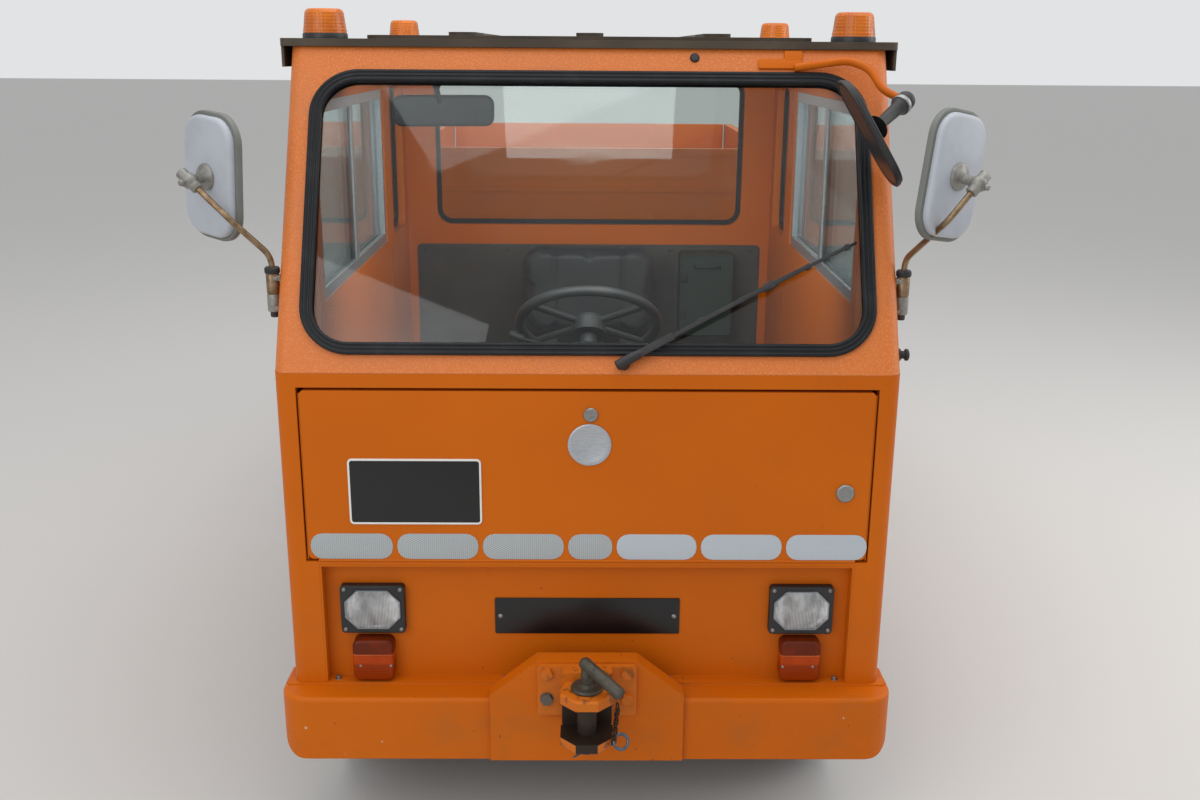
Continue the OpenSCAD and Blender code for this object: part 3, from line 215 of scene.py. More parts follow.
def makeOrangePaint():
    look = {"color": srgb(203, 101, 8), "deep": srgb(186, 87, 4), "dust": srgb(140, 92, 48),
            "chip": srgb(74, 52, 40), "pale": srgb(200, 182, 156), "gloss": 0.4,
            "nicks": ((-590, 0, 293, 2.6), (-432, 0, 262, 1.4), (-509, 0, 231, 1.8),
                      (540, 0, 318, 1.2))}
    paint = Finish("orangePaint", look["color"], look["gloss"])
    paint.patches(look["deep"], 0.5, 0.35, 0.75, 1.7)
    height = paint.axis(2)
    low = 1 - paint.ramp(height, 0.2, 0.75)
    grime = paint.ramp(paint.noise(9, 6), 0.45, 0.85) * (low * 0.3 + 0.04)
    paint.tint(grime, look["dust"])
    # few chips, most of them low down
    chips = paint.ramp(paint.noise(46, 2, 0.7), 0.735, 0.75) * (low * 0.9 + 0.1)
    paint.tint(chips, look["chip"])
    for x, s, z, wide in look["nicks"]:
        worn = paint.reach(x, s, z) + paint.noise(210) * 0.012
        whole = paint.ramp(worn, 0.005 + wide / 1000, 0.0068 + wide / 1000)
        paint.tint(0.8 - whole * 0.8, look["pale"])
    paint.set("Roughness", look["gloss"] + grime * 0.5 + paint.noise(30) * 0.06)
    paint.set("Specular IOR Level", 0.15)
    paint.set("Coat Weight", 0.02)
    paint.set("Coat Roughness", 0.2)
    paint.relief(paint.noise(330, 2) + paint.noise(24, 2) * 1.2, 0.22, 0.0006, 0.0022)
    return paint.material


def makeTexturedPaint():
    look = {"color": srgb(207, 108, 32), "fleckAndHighlight": srgb(226, 142, 78), "dust": srgb(168, 110, 68)}
    paint = Finish("texturedPaint", look["color"], 0.42)
    grain = paint.noise(270, 3, 0.6)
    # lighter flecks on the grain's peaks: partly the paint's own mottle, partly painted highlight
    # on the raised texture
    paint.tint(paint.ramp(grain, 0.44, 0.74) * 0.6, look["fleckAndHighlight"])
    paint.patches(look["dust"], 0.35, 0.45, 0.8, 5, 5)
    paint.set("Roughness", 0.34 + grain * 0.2)
    paint.relief(grain + paint.noise(90, 2) * 0.6, 0.7, 0.0016, 0.003)
    return paint.material


def makeRoofPaint():
    look = {"color": srgb(60, 50, 38), "dust": srgb(102, 88, 68)}
    paint = Finish("roofPaint", look["color"], 0.62)
    paint.patches(look["dust"], 0.5, 0.35, 0.8, 6, 6)
    paint.relief(paint.noise(420), 0.35, 0.0006, 0.002)
    return paint.material


def makeDarkPaint():
    look = {"color": srgb(46, 45, 43), "dust": srgb(104, 94, 82), "rust": srgb(92, 56, 34)}
    paint = Finish("darkPaint", look["color"], 0.6)
    up = paint.node("NewGeometry", output="Normal")
    upward = paint.ramp(paint.node("SeparateXYZ", None, {0: up}, 2), 0.2, 0.95)
    paint.tint(paint.noise(11, 6) * 0.5 + upward * 0.35, look["dust"])
    paint.patches(look["rust"], 0.7, 0.6, 0.72, 28, 5)
    paint.dull(0.5, 0.3, 16)
    paint.relief(paint.noise(240, 3), 0.3, 0.0008, 0.002)
    return paint.material


def makeWornIron():
    look = {"color": srgb(38, 33, 29), "rust": srgb(96, 60, 36), "bright": srgb(120, 112, 100)}
    iron = Finish("wornIron", look["color"], 0.42, 0.6)
    iron.patches(look["rust"], 0.75, 0.48, 0.7, 60, 6)
    iron.patches(look["bright"], 0.6, 0.66, 0.74, 130, 3)
    iron.dull(0.32, 0.4, 80)
    iron.relief(iron.noise(320, 4), 0.4, 0.0008, 0.0015)
    return iron.material


def makeJawIron():
    look = {"color": srgb(200, 104, 16), "worn": srgb(92, 56, 28), "greaseAndShade": srgb(44, 31, 22),
            "bare": srgb(96, 88, 80), "z": 0.386, "half": 0.0374, "face": 1.6185, "nose": 1.7,
            "bolt": (-83, -30, 378)}
    iron = Finish("jawIron", look["color"], 0.46)
    x, y, z = (iron.axis(index) for index in range(3))
    reach = y.distance()
    # the rear jaw sits 28 mm higher than the front one
    middle = (y * 50).smaller(1).larger(-1) * 0.014 + look["z"]
    beyond = iron.ramp(reach, look["face"], look["face"] + 0.001)
    # the mouth between the lips is darkened: partly grease, partly painted shade of the recess
    shadedMouth = (1 - iron.ramp((z - middle).distance(), look["half"], look["half"] + 0.0012)) * beyond
    shadedMouth = shadedMouth * (1 - iron.ramp(x.distance(), 0.057, 0.058))
    nose = iron.ramp(reach, look["nose"], look["nose"] + 0.004)
    nose = nose * iron.ramp(middle - z, 0.036, 0.037)
    nose = nose * (1 - iron.ramp(x.distance(), 0.0215, 0.0225))
    wear = iron.ramp(iron.noise(44, 6), 0.5, 0.62)
    iron.tint(wear * (beyond * 0.55 + 0.1), look["worn"])
    iron.tint(1 - iron.ramp(iron.reach(*look["bolt"]), 0.0145, 0.016), look["bare"])
    # dark brown over the mouth (grease and painted shade) and the lower lip's front facet (grease)
    iron.tint(shadedMouth.larger(nose), look["greaseAndShade"])
    iron.dull(0.34, 0.3, 50)
    iron.set("Specular IOR Level", 0.3)
    iron.relief(iron.noise(150, 4), 0.35, 0.001, 0.002)
    return iron.material


def makeTyreRubber():
    look = {"color": srgb(38, 37, 36), "dust": srgb(96, 88, 78)}
    rubber = Finish("tyreRubber", look["color"], 0.78)
    rubber.patches(look["dust"], 0.5, 0.38, 0.8, 14, 6)
    rubber.relief(rubber.noise(380, 3), 0.3, 0.0006)
    return rubber.material


def makeSealRubber():
    look = {"color": srgb(20, 22, 26), "dust": srgb(52, 54, 57)}
    rubber = Finish("sealRubber", look["color"], 0.46)
    rubber.set("Specular IOR Level", 0.3)
    rubber.patches(look["dust"], 0.4, 0.45, 0.85, 22, 5)
    rubber.relief(rubber.noise(260), 0.2, 0.0005, 0.0015)
    return rubber.material


def makeWindowGlass():
    look = {"tint": (0.95, 0.98, 0.97, 1), "shine": (0.9, 0.94, 0.95, 1)}
    glass = Finish("windowGlass", look["shine"], 0.03, 1.0)
    smear = glass.ramp(glass.noise(7, 6), 0.5, 0.9)
    glass.set("Roughness", 0.02 + smear * 0.25)
    through = glass.node("BsdfTransparent", None, {"Color": look["tint"]})
    shine = glass.node("Fresnel", None, {"IOR": 1.38})
    factor = (shine * 0.9 + smear * 0.02).smaller(0.8)
    mixed = glass.node("MixShader", None, {
        0: factor, 1: through, 2: Signal(glass.tree, glass.shader.outputs[0])})
    output = glass.tree.nodes["Material Output"]
    glass.tree.links.new(mixed.socket, output.inputs["Surface"])
    return glass.material


def makeAluminium():
    look = {"color": srgb(186, 190, 195), "dull": srgb(140, 143, 147)}
    metal = Finish("aluminium", look["color"], 0.38, 0.75)
    streaks = metal.noise(60, 4, 0.6, (1, 1, 9))
    metal.tint(metal.ramp(streaks, 0.4, 0.75) * 0.5, look["dull"])
    metal.set("Roughness", 0.28 + streaks * 0.25)
    metal.relief(streaks, 0.15, 0.0004, 0.001)
    return metal.material


def makePlastic(name, color, worn, gloss):
    plastic = Finish(name, color, gloss)
    plastic.patches(worn, 0.5, 0.42, 0.8, 12, 6)
    plastic.dull(gloss, 0.12, 40)
    plastic.relief(plastic.noise(620, 2), 0.3, 0.0004, 0.0015)
    return plastic.material


def makeLens(name, color, deep):
    lens = Finish(name, color, 0.12)
    lens.patches(deep, 0.45, 0.4, 0.7, 18, 3)
    lens.set("Specular IOR Level", 0.3)
    lens.set("Coat Weight", 0.3)
    lens.set("Coat Roughness", 0.08)
    ribs = (lens.axis(0) * 900).cos() + (lens.axis(2) * 900).cos()
    lens.relief(ribs, 0.35, 0.0007, 0.001)
    return lens.material


def makeSteel():
    look = {"color": srgb(150, 150, 148), "rust": srgb(112, 84, 62)}
    metal = Finish("steel", look["color"], 0.34, 0.85)
    metal.patches(look["rust"], 0.55, 0.55, 0.75, 70, 5)
    metal.dull(0.26, 0.25, 90)
    metal.relief(metal.noise(400, 3), 0.2, 0.0004, 0.001)
    return metal.material


def makeSeatCover():
    look = {"color": srgb(40, 40, 42), "worn": srgb(66, 64, 62)}
    cover = Finish("seatCover", look["color"], 0.55)
    creases = cover.noise(420, 3)
    cover.patches(look["worn"], 0.5, 0.45, 0.8, 8, 5)
    cover.set("Roughness", 0.46 + creases * 0.2)
    cover.relief(creases, 0.3, 0.0006)
    return cover.material


finishes = {
    "orange_paint": makeOrangePaint(),
    "textured_paint": makeTexturedPaint(),
    "roof_paint": makeRoofPaint(),
    "dark_paint": makeDarkPaint(),
    "worn_iron": makeWornIron(),
    "jaw_iron": makeJawIron(),
    "tyre_rubber": makeTyreRubber(),
    "seal_rubber": makeSealRubber(),
    "window_glass": makeWindowGlass(),
    "alu": makeAluminium(),
    "black_plastic": makePlastic("blackPlastic", srgb(34, 34, 35), srgb(64, 62, 60), 0.5),
    "grey_plastic": makePlastic("greyPlastic", srgb(176, 181, 189), srgb(150, 152, 156), 0.38),
    "amber_lens": makeLens("amberLens", srgb(216, 112, 8), srgb(160, 66, 4)),
    "red_lens": makeLens("redLens", srgb(176, 26, 16), srgb(110, 12, 8)),
    "lamp_black": makePlastic("lampBlack", srgb(30, 30, 32), srgb(56, 54, 52), 0.35),
    "seat_cover": makeSeatCover(),
    "steel": makeSteel(),
    "box_green": makePlastic("boxGreen", srgb(36, 50, 42), srgb(60, 68, 62), 0.5),
}
slotOf = {row["node"]: row["material_slot"] for row in frame["record"]["subparts"]}
for name, obj in frame["nodes"].items():
    obj.data.materials.clear()
    obj.data.materials.append(finishes[slotOf[name]])
print("materials on", len(frame["nodes"]), "nodes")


# Building blocks: each returns a bmesh around the origin, in mm, thickness along +Z
def soften(shape, items, offset, steps, affect="EDGES"):
    bmesh.ops.bevel(shape, geom=items, affect=affect, offset=offset, segments=steps,
                    profile=0.5, material=-1)


def layRectangle(shape, width, height, radius, steps):
    sheet = bmesh.ops.create_grid(shape, x_segments=1, y_segments=1, size=0.5)
    bmesh.ops.scale(shape, vec=(width, height, 1), verts=sheet["verts"])
    if radius:
        soften(shape, sheet["verts"], radius, steps, "VERTICES")


# Thickness for a flat shape: returns what the extrusion made
def thicken(shape, thick):
    raised = bmesh.ops.extrude_face_region(shape, geom=shape.faces[:])["geom"]
    top = [item for item in raised if isinstance(item, bmesh.types.BMVert)]
    bmesh.ops.translate(shape, vec=(0, 0, thick), verts=top)
    return raised


# Bevel for the sharp ones among the raised edges
def roundRims(shape, raised, edge):
    rim = [item for item in raised
           if isinstance(item, bmesh.types.BMEdge) and len(item.link_faces) == 2
           and item.calc_face_angle(0) > 1]
    soften(shape, rim, edge, 2)


def slab(width, height, thick, radius, edge=0.0, steps=5):
    shape = bmesh.new()
    layRectangle(shape, width, height, radius, steps)
    raised = thicken(shape, thick)
    if edge:
        soften(shape, [item for item in raised if isinstance(item, bmesh.types.BMEdge)], edge, 3)
    return shape


def ring(width, height, thick, radius, wall, edge=0.0, steps=5):
    shape = bmesh.new()
    layRectangle(shape, width, height, radius, steps)
    inner = shape.faces[:]
    bmesh.ops.inset_region(shape, faces=inner, thickness=wall, use_boundary=True,
                           use_even_offset=True)
    bmesh.ops.delete(shape, geom=inner, context="FACES")
    raised = thicken(shape, thick)
    if edge:
        roundRims(shape, raised, edge)
    return shape


# Plate with a cut-cornered window in it
def windowed(width, height, thick, radius, window, edge):
    shape = bmesh.new()
    layRectangle(shape, width, height, radius, 5)
    layRectangle(shape, *window, 1)
    bmesh.ops.delete(shape, geom=shape.faces[:], context="FACES_ONLY")
    bmesh.ops.bridge_loops(shape, edges=shape.edges[:])
    roundRims(shape, thicken(shape, thick), edge)
    return shape


def turned(profile, steps=32):
    shape = bmesh.new()
    points = [shape.verts.new((radius, 0, height)) for radius, height in profile]
    for first, second in zip(points, points[1:]):
        shape.edges.new((first, second))
    bmesh.ops.spin(shape, geom=shape.verts[:] + shape.edges[:], cent=(0, 0, 0), axis=(0, 0, 1),
                   angle=2 * math.pi, steps=steps, use_merge=True)
    bmesh.ops.remove_doubles(shape, verts=shape.verts[:], dist=0.001)
    return shape


def pipe(points, radius, sides=4, loop=False):
    curve = bpy.data.curves.new("route", "CURVE")
    curve.dimensions = "3D"
    curve.bevel_depth = radius
    curve.bevel_resolution = sides
    curve.use_fill_caps = not loop
    line = curve.splines.new("POLY")
    line.points.add(len(points) - 1)
    for place, spot in zip(line.points, points):
        place.co = (*spot, 1)
    line.use_cyclic_u = loop
    holder = bpy.data.objects.new("route", curve)
    mesh = bpy.data.meshes.new_from_object(holder)
    shape = bmesh.new()
    shape.from_mesh(mesh)
    bpy.data.objects.remove(holder)
    bpy.data.curves.remove(curve)
    bpy.data.meshes.remove(mesh)
    return shape


# Path of a rounded rectangle, for beads and seals
def roundPath(width, height, radius, steps=8):
    path = []
    for corner, (x, y) in enumerate([(1, 1), (-1, 1), (-1, -1), (1, -1)]):
        for step in range(steps + 1):
            angle = math.pi / 2 * (corner + step / steps)
            path.append((x * (width / 2 - radius) + radius * math.cos(angle),
                         y * (height / 2 - radius) + radius * math.sin(angle), 0))
    return path


# Rounded bends along a few straight legs
def bentPath(corners, radius, steps=5):
    spots = [Vector(corner) for corner in corners]
    path = [spots[0]]
    for before, here, after in zip(spots, spots[1:], spots[2:]):
        start = here + (before - here).normalized() * radius
        end = here + (after - here).normalized() * radius
        for step in range(steps + 1):
            share = step / steps
            path.append(start.lerp(here, share).lerp(here.lerp(end, share), share))
    return path + [spots[-1]]


# Hexagon head on a washer
def hexBolt(size, tall):
    shape = bmesh.new()
    lift = size * 0.12
    cap = bmesh.ops.create_cone(shape, cap_ends=True, segments=6, radius1=size / 2,
                                radius2=size / 2, depth=tall)
    bmesh.ops.translate(shape, vec=(0, 0, lift + tall / 2), verts=cap["verts"])
    soften(shape, shape.edges[:], size * 0.05, 1)
    join(shape, turned([(0, 0), (size * 0.68, 0), (size * 0.7, lift * 0.6),
                        (size * 0.62, lift), (0, lift)], 20))
    return shape


# Domed screw head with a dimple in it
def slotScrew(size):
    return turned([(0, 0), (size / 2, 0), (size / 2, size * 0.12), (size * 0.36, size * 0.3),
                   (size * 0.12, size * 0.34), (size * 0.1, size * 0.22), (0, size * 0.22)], 16)


def join(target, source, place=None):
    if place is not None:
        source.transform(place)
    mesh = bpy.data.meshes.new("part")
    source.to_mesh(mesh)
    source.free()
    target.from_mesh(mesh)
    bpy.data.meshes.remove(mesh)


# mm shapes go through this scale when they are placed
milli = Matrix.Diagonal((0.001, 0.001, 0.001, 1))


def putInScene(name, data):
    obj = bpy.data.objects.new(name, data)
    bpy.context.scene.collection.objects.link(obj)
    return obj


class Piece:
    def __init__(self, name, slot, body="frame", finish=None, sharp=35):
        self.name = name
        self.slot = slot
        self.body = body
        self.finish = finish or finishes[slot]
        self.sharp = math.radians(sharp)
        self.shape = bmesh.new()

    def add(self, shape, place):
        join(self.shape, shape, place @ milli)
        return self

    def addBoth(self, build, place):
        self.add(build(), place)
        self.add(build(), mirrored(place))

    def done(self, *replaced):
        shape = self.shape
        bmesh.ops.remove_doubles(shape, verts=shape.verts[:], dist=0.000002)
        bmesh.ops.recalc_face_normals(shape, faces=shape.faces[:])
        for face in shape.faces:
            face.smooth = True
        for edge in shape.edges:
            edge.smooth = len(edge.link_faces) == 2 and edge.calc_face_angle(0) < self.sharp
        mesh = bpy.data.meshes.new(self.name)
        shape.to_mesh(mesh)
        shape.free()
        obj = putInScene(self.name, mesh)
        mesh.materials.append(self.finish)
        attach(obj, self.body)
        if replaced:
            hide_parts(*replaced)
        return obj


def finishAll(*pieces):
    for piece in pieces:
        piece.done()


# Stage, light and camera
def makeStage():
    size = {"half": 60, "cameraAt": (0.0, -3.85, 1.669), "yaw": 0.58, "pitch": 16.2, "roll": 0.41,
            "lens": 36.33, "fill": (0.62, 0.63, 0.65, 1), "backdrop": srgb(226, 227, 228),
            "lamps": (("topLight", (0.4, -0.6, 5.2), (0, 0.2, 0.4), 5.5, 150),
                      ("frontLight", (-2.6, -5.4, 3.2), (0, -1.2, 0.8), 3.6, 70),
                      ("sideLight", (4.6, -0.4, 2.8), (0, 0, 0.8), 3.0, 55),
                      ("cabLight", (0, -0.95, 1.52), (0, 0.1, 0.9), 0.7, 7))}
    shape = bmesh.new()
    bmesh.ops.create_grid(shape, x_segments=8, y_segments=8, size=size["half"])
    mesh = bpy.data.meshes.new("floor")
    shape.to_mesh(mesh)
    shape.free()
    floor = putInScene("floor", mesh)
    ground = Finish("floorPaint", srgb(206, 204, 200), 0.7)
    ground.relief(ground.noise(3), 0.05, 0.001)
    mesh.materials.append(ground.material)

    world = bpy.data.worlds.new("studio")
    world.use_nodes = True
    bpy.context.scene.world = world
    tree = world.node_tree
    ray = tree.nodes.new("ShaderNodeLightPath")
    back = tree.nodes["Background"]
    seen = tree.nodes.new("ShaderNodeMath")
    seen.operation = "MAXIMUM"
    tree.links.new(ray.outputs["Is Camera Ray"], seen.inputs[0])
    tree.links.new(ray.outputs["Is Transmission Ray"], seen.inputs[1])
    color = tree.nodes.new("ShaderNodeMix")
    color.data_type = "RGBA"
    color.inputs[6].default_value = size["fill"]
    color.inputs[7].default_value = size["backdrop"]
    tree.links.new(seen.outputs[0], color.inputs[0])
    tree.links.new(color.outputs[2], back.inputs["Color"])

    for name, at, to, wide, power in size["lamps"]:
        lamp = bpy.data.lights.new(name, "AREA")
        lamp.size = wide
        lamp.energy = power
        holder = putInScene(name, lamp)
        holder.location = at
        holder.visible_camera = False
        holder.rotation_euler = (Vector(to) - Vector(at)).to_track_quat("-Z", "Y").to_euler()

    yaw, pitch, roll = (math.radians(size[key]) for key in ("yaw", "pitch", "roll"))
    ahead = Vector((math.sin(yaw) * math.cos(pitch), math.cos(yaw) * math.cos(pitch),
                    -math.sin(pitch)))
    right = Vector((math.cos(yaw), -math.sin(yaw), 0))
    rise = right.cross(ahead)
    turnedRight = right * math.cos(roll) + rise * math.sin(roll)
    turnedRise = rise * math.cos(roll) - right * math.sin(roll)
    data = bpy.data.cameras.new("camera")
    data.lens = size["lens"]
    data.sensor_width = 36
    camera = putInScene("camera", data)
    tilt = Matrix((turnedRight, turnedRise, -ahead)).transposed().to_4x4()
    camera.matrix_world = Matrix.Translation(size["cameraAt"]) @ tilt
    bpy.context.scene.camera = camera
    bpy.context.scene.view_settings.view_transform = "Standard"


makeStage()
print("stage and camera")


# Each wheel: name, body, side of the vehicle and place of its axle
wheels = [("FrontLeft", "front_left", 1, 490), ("FrontRight", "front_right", -1, 490),
          ("RearLeft", "rear_left", 1, 2600), ("RearRight", "rear_right", -1, 2600)]
halfTrack = 522
axleHeight = 270


# Tyres with tread blocks, in place of the plain ones
def makeTyres():
    size = {"radius": 270, "half": 77.5, "bore": 125.5, "base": 259, "steps": 96,
            "center": 14, "groove": 22, "block": 11}
    half, tip, base = size["half"], size["radius"], size["base"]
    center, groove = size["center"], size["groove"]
    inner = [(size["bore"], -64), (138, -64.5), (147, -70), (156, -76.5), (163, -77.2),
             (170, -76.2), (186, -77.4), (205, -77.5), (222, -76.6), (236, -74.5), (246, -71),
             (253, -66), (257, -60), (base, -54), (base, -groove), (base, -center)]
    profile = inner + [(radius, -height) for radius, height in reversed(inner)]
    for name, body, side, s in wheels:
        shape = turned(profile, size["steps"])
        blocks = []
        for face in shape.faces:
            middle = face.calc_center_median()
            column = int(math.degrees(math.atan2(middle.y, middle.x)) % 360 / 360 * size["steps"])
            across, reach = abs(middle.z), math.hypot(middle.x, middle.y)
            outer = groove < across < 74 and reach > 246
            rib = across < center and reach > 250
            if (outer and column % 4 != 0) or (rib and (column + 2) % 4 != 0):
                blocks.append(face)
        raised = bmesh.ops.extrude_face_region(shape, geom=blocks)
        bmesh.ops.delete(shape, geom=blocks, context="FACES_ONLY")
        lifted = [item for item in raised["geom"] if isinstance(item, bmesh.types.BMVert)]
        for vert in lifted:
            reach = math.hypot(vert.co.x, vert.co.y)
            target = min(tip, reach + size["block"]) - max(0, abs(vert.co.z) - 56) * 0.3
            grown = max(target, reach) / reach
            vert.co.x *= grown
            vert.co.y *= grown
            vert.co.z = max(-half, min(half, vert.co.z * (1.02 if abs(vert.co.z) > 50 else 1)))
        tyre = Piece("tyre" + name, "tyre_rubber", body + "_wheel", sharp=30)
        tyre.add(shape, facing(point(side * halfTrack, s, axleHeight), (1, 0, 0)))
        tyre.done("tyre_" + body)
        valve = turned([(0, 0), (6, 0), (5, 6), (4, 20), (5.5, 21), (5.5, 30), (4, 33),
                        (0, 33)], 16)
        at = point(side * (halfTrack + 33), s, axleHeight + 108)
        Piece("valve" + name, "black_plastic", body + "_wheel").add(
            valve, facing(at, (side, 0, 0.35))).done()


makeTyres()
print("tyres")


# Reflective film, cut in rounded strips along the front
def makeReflectiveStrips():
    size = {"low": 651, "high": 707, "left": -570, "gap": 9, "thick": 1.2,
            "widths": (169, 167, 167, 91, 165, 167, 167)}
    film = Finish("reflectiveFilm", srgb(178, 184, 186), 0.3, 0.25)
    pitch = 2 * math.pi / 0.0042
    across = film.axis(0) * pitch
    rise = film.axis(2) * pitch
    honey = across.cos() + (across * 0.5 + rise * 0.866).cos() + (across * 0.5 - rise * 0.866).cos()
    # the four pieces on the driver's right are speckled, the others plain
    speckled = 1 - film.ramp(film.axis(0), 0.055, 0.06)
    film.tint(film.ramp(honey, 0.2, 1.6) * (speckled * 0.5 + 0.12), srgb(120, 124, 124))
    film.tint((1 - speckled) * 0.5, srgb(196, 206, 216))
    film.dull(0.22, 0.2, 30)
    film.relief(honey, 0.15, 0.0004)
    strips = Piece("reflectiveStrips", "alu", "lid", film.material)
    edge = size["left"]
    tall = size["high"] - size["low"]
    middle = (size["low"] + size["high"]) / 2 + 1.5
    for width in size["widths"]:
        strip = slab(width, tall, size["thick"], 25, 0.4, steps=4)
        strips.add(strip, onFront(edge + width / 2, middle, lidFace))
        edge += width + size["gap"]
    strips.done()


makeReflectiveStrips()


# Number plate in its rim, riveted nameplate and plain disc
def makeFrontPlates():
    size = {"plate": (270, 141), "plateAt": (-351, 800.5), "name": (392, 82), "nameAt": (0, 510),
            "discAt": (3, 902)}
    black = Finish("plateBlack", srgb(14, 14, 15), 0.3)
    black.dull(0.24, 0.2, 20)
    black.relief(black.noise(90), 0.1, 0.0004)
    white = Finish("plateWhite", srgb(226, 226, 222), 0.45)
    white.patches(srgb(190, 186, 176), 0.4, 0.5, 0.8, 30)
    white.dull(0.4, 0.1, 40)
    wide, tall = size["plate"]
    place = onFront(*size["plateAt"], lidFace)
    Piece("numberPlate", "black_plastic", "lid", black.material).add(
        slab(wide - 3, tall - 3, 2.2, 8, 0.5), place).done()
    Piece("numberPlateRim", "black_plastic", "lid", white.material).add(
        ring(wide, tall, 3, 9, 4, 0.4), place).done()
    Piece("namePlate", "black_plastic", "frame", black.material).add(
        slab(*size["name"], 3, 4, 0.8), onFront(*size["nameAt"], recessFace)).done()
    rivets = Piece("namePlateRivets", "steel")
    for x in (-184, 184):
        rivets.add(turned([(0, 0), (5.5, 0), (5, 1.8), (3, 3.2), (0, 3.6)], 16),
                   onFront(size["nameAt"][0] + x, size["nameAt"][1], recessFace - 3))
    rivets.done()
    disc = turned([(0, 0), (44, 0), (44, 2), (42.5, 3), (36, 3), (34.5, 2.2), (0, 2.2)], 48)
    Piece("plainDisc", "alu", "lid").add(disc, onFront(*size["discAt"], lidFace)).done()


makeFrontPlates()


# Seal along the joint of the bumper and the front
def makeBumperSeal():
    size = {"long": 1276, "deep": 30, "thick": 3.6, "at": (0, 73.6, 361.2)}
    strip = slab(size["long"], size["deep"], size["thick"], 3, 0.6)
    Piece("bumperSeal", "orange_paint").add(strip, standing(*size["at"])).done()


makeBumperSeal()


# Lock and latch of the front lid
def makeLocks():
    size = {"lock": (5, 965), "slot": (2.4, 11, 1.4, 0.6), "latch": (525, 800)}
    lock = Piece("lidLock", "steel", "lid")
    lock.add(turned([(0, 0), (15, 0), (15, 2), (13, 4.5), (8.5, 4.5), (8, 3.4), (0, 3.4)], 32),
             onFront(*size["lock"], lidFace))
    lock.add(slab(*size["slot"]), onFront(*size["lock"], lidFace - 3.2))
    lock.add(turned([(0, 0), (19, 0), (19, 3), (16.5, 5.5), (10, 6.2), (9.4, 5), (0, 4.6)], 32),
             onFront(*size["latch"], lidFace))
    lock.done()


makeLocks()


# Headlights: bezel, reflector with its lamp, fluted glass and screws
def makeHeadlights():
    size = {"x": 452, "z": 530.5, "w": 135, "h": 109, "lens": (117, 88, 26),
            "screws": (58.8, 45.8)}
    chrome = Finish("reflector", srgb(214, 216, 218), 0.12, 1.0)
    chrome.dull(0.1, 0.12, 60)
    chrome.relief(chrome.noise(24), 0.3, 0.002)
    glass = Finish("lampGlass", srgb(204, 208, 209), 0.08)
    across = (glass.axis(0).distance() - size["x"] / 1000).distance()
    side = glass.ramp(across, 0.02, 0.046)
    streaks = glass.noise(34, 3, 0.55, (1, 1, 0.6))
    flutes = (glass.axis(0) * 2100).cos()
    low = 1 - glass.ramp(glass.axis(2), size["z"] / 1000 - 0.012, size["z"] / 1000 + 0.01)
    glass.tint(glass.ramp(streaks, 0.46, 0.62) * 0.7, srgb(206, 211, 213))
    glass.tint((1 - glass.ramp(streaks, 0.34, 0.5)) * 0.6, srgb(138, 141, 142))
    glass.tint(glass.ramp(flutes, -0.2, 0.8) * (1 - side) * (low * 0.5 + 0.12), srgb(84, 86, 87))
    # painted highlights: pale white streaks over the outer part of each lens
    bright = glass.ramp(glass.noise(75, 2, 0.5, (1, 1, 0.35)), 0.46, 0.56)
    glass.tint(side * bright * 0.8, srgb(238, 242, 244))
    glass.relief(flutes + streaks * 4, 0.6, 0.0012)
    glass.set("Roughness", 0.08 + streaks * 0.14)
    glass.set("Metallic", 0.35)
    glass.set("Alpha", 0.72 + glass.ramp(streaks, 0.5, 0.62) * 0.22)

    def bowl():
        shape = turned([(0, -12), (10, -11), (26, -6), (42, 2), (54, 10)], 40)
        bmesh.ops.scale(shape, vec=(1, 0.8, 1), verts=shape.verts[:])
        return shape

    bezels = Piece("headlightBezels", "lamp_black")
    bowls = Piece("headlightReflectors", "alu", finish=chrome.material)
    lenses = Piece("headlightLenses", "window_glass", finish=glass.material)
    screws = Piece("headlightScrews", "steel")
    place = onFront(size["x"], size["z"], recessFace)
    wide, tall, cut = size["lens"]
    bezels.addBoth(lambda: windowed(size["w"], size["h"], 17, 8, (wide, tall, cut), 1.6), place)
    bezels.addBoth(lambda: slab(size["w"] - 6, size["h"] - 6, 4, 6), place)
    bowls.addBoth(bowl, place @ shift(0, 0, 5))
    bowls.addBoth(lambda: turned([(0, 0), (7, 0), (8, 6), (6, 16), (0, 20)], 24), place)
    lenses.addBoth(lambda: slab(wide - 2, tall - 2, 8, cut - 1, 3.5, steps=1),
                   place @ shift(0, 0, 11.5))
    rimFinish = makePlastic("lampRim", srgb(120, 126, 132), srgb(150, 156, 162), 0.3)
    rims = Piece("headlightRims", "alu", finish=rimFinish)
    rims.addBoth(lambda: ring(wide, tall, 2.4, cut, 2.6, 0.5, steps=1),
                 place @ shift(0, 0, 16.8))
    rims.done()
    out, up = size["screws"]
    for x, y in ((out, up), (-out, up), (-out, -up), (out, -up)):
        screws.addBoth(lambda: slotScrew(9), place @ shift(x, y, 16.5))
    bezels.done("headlights")
    finishAll(bowls, lenses, screws)


makeHeadlights()


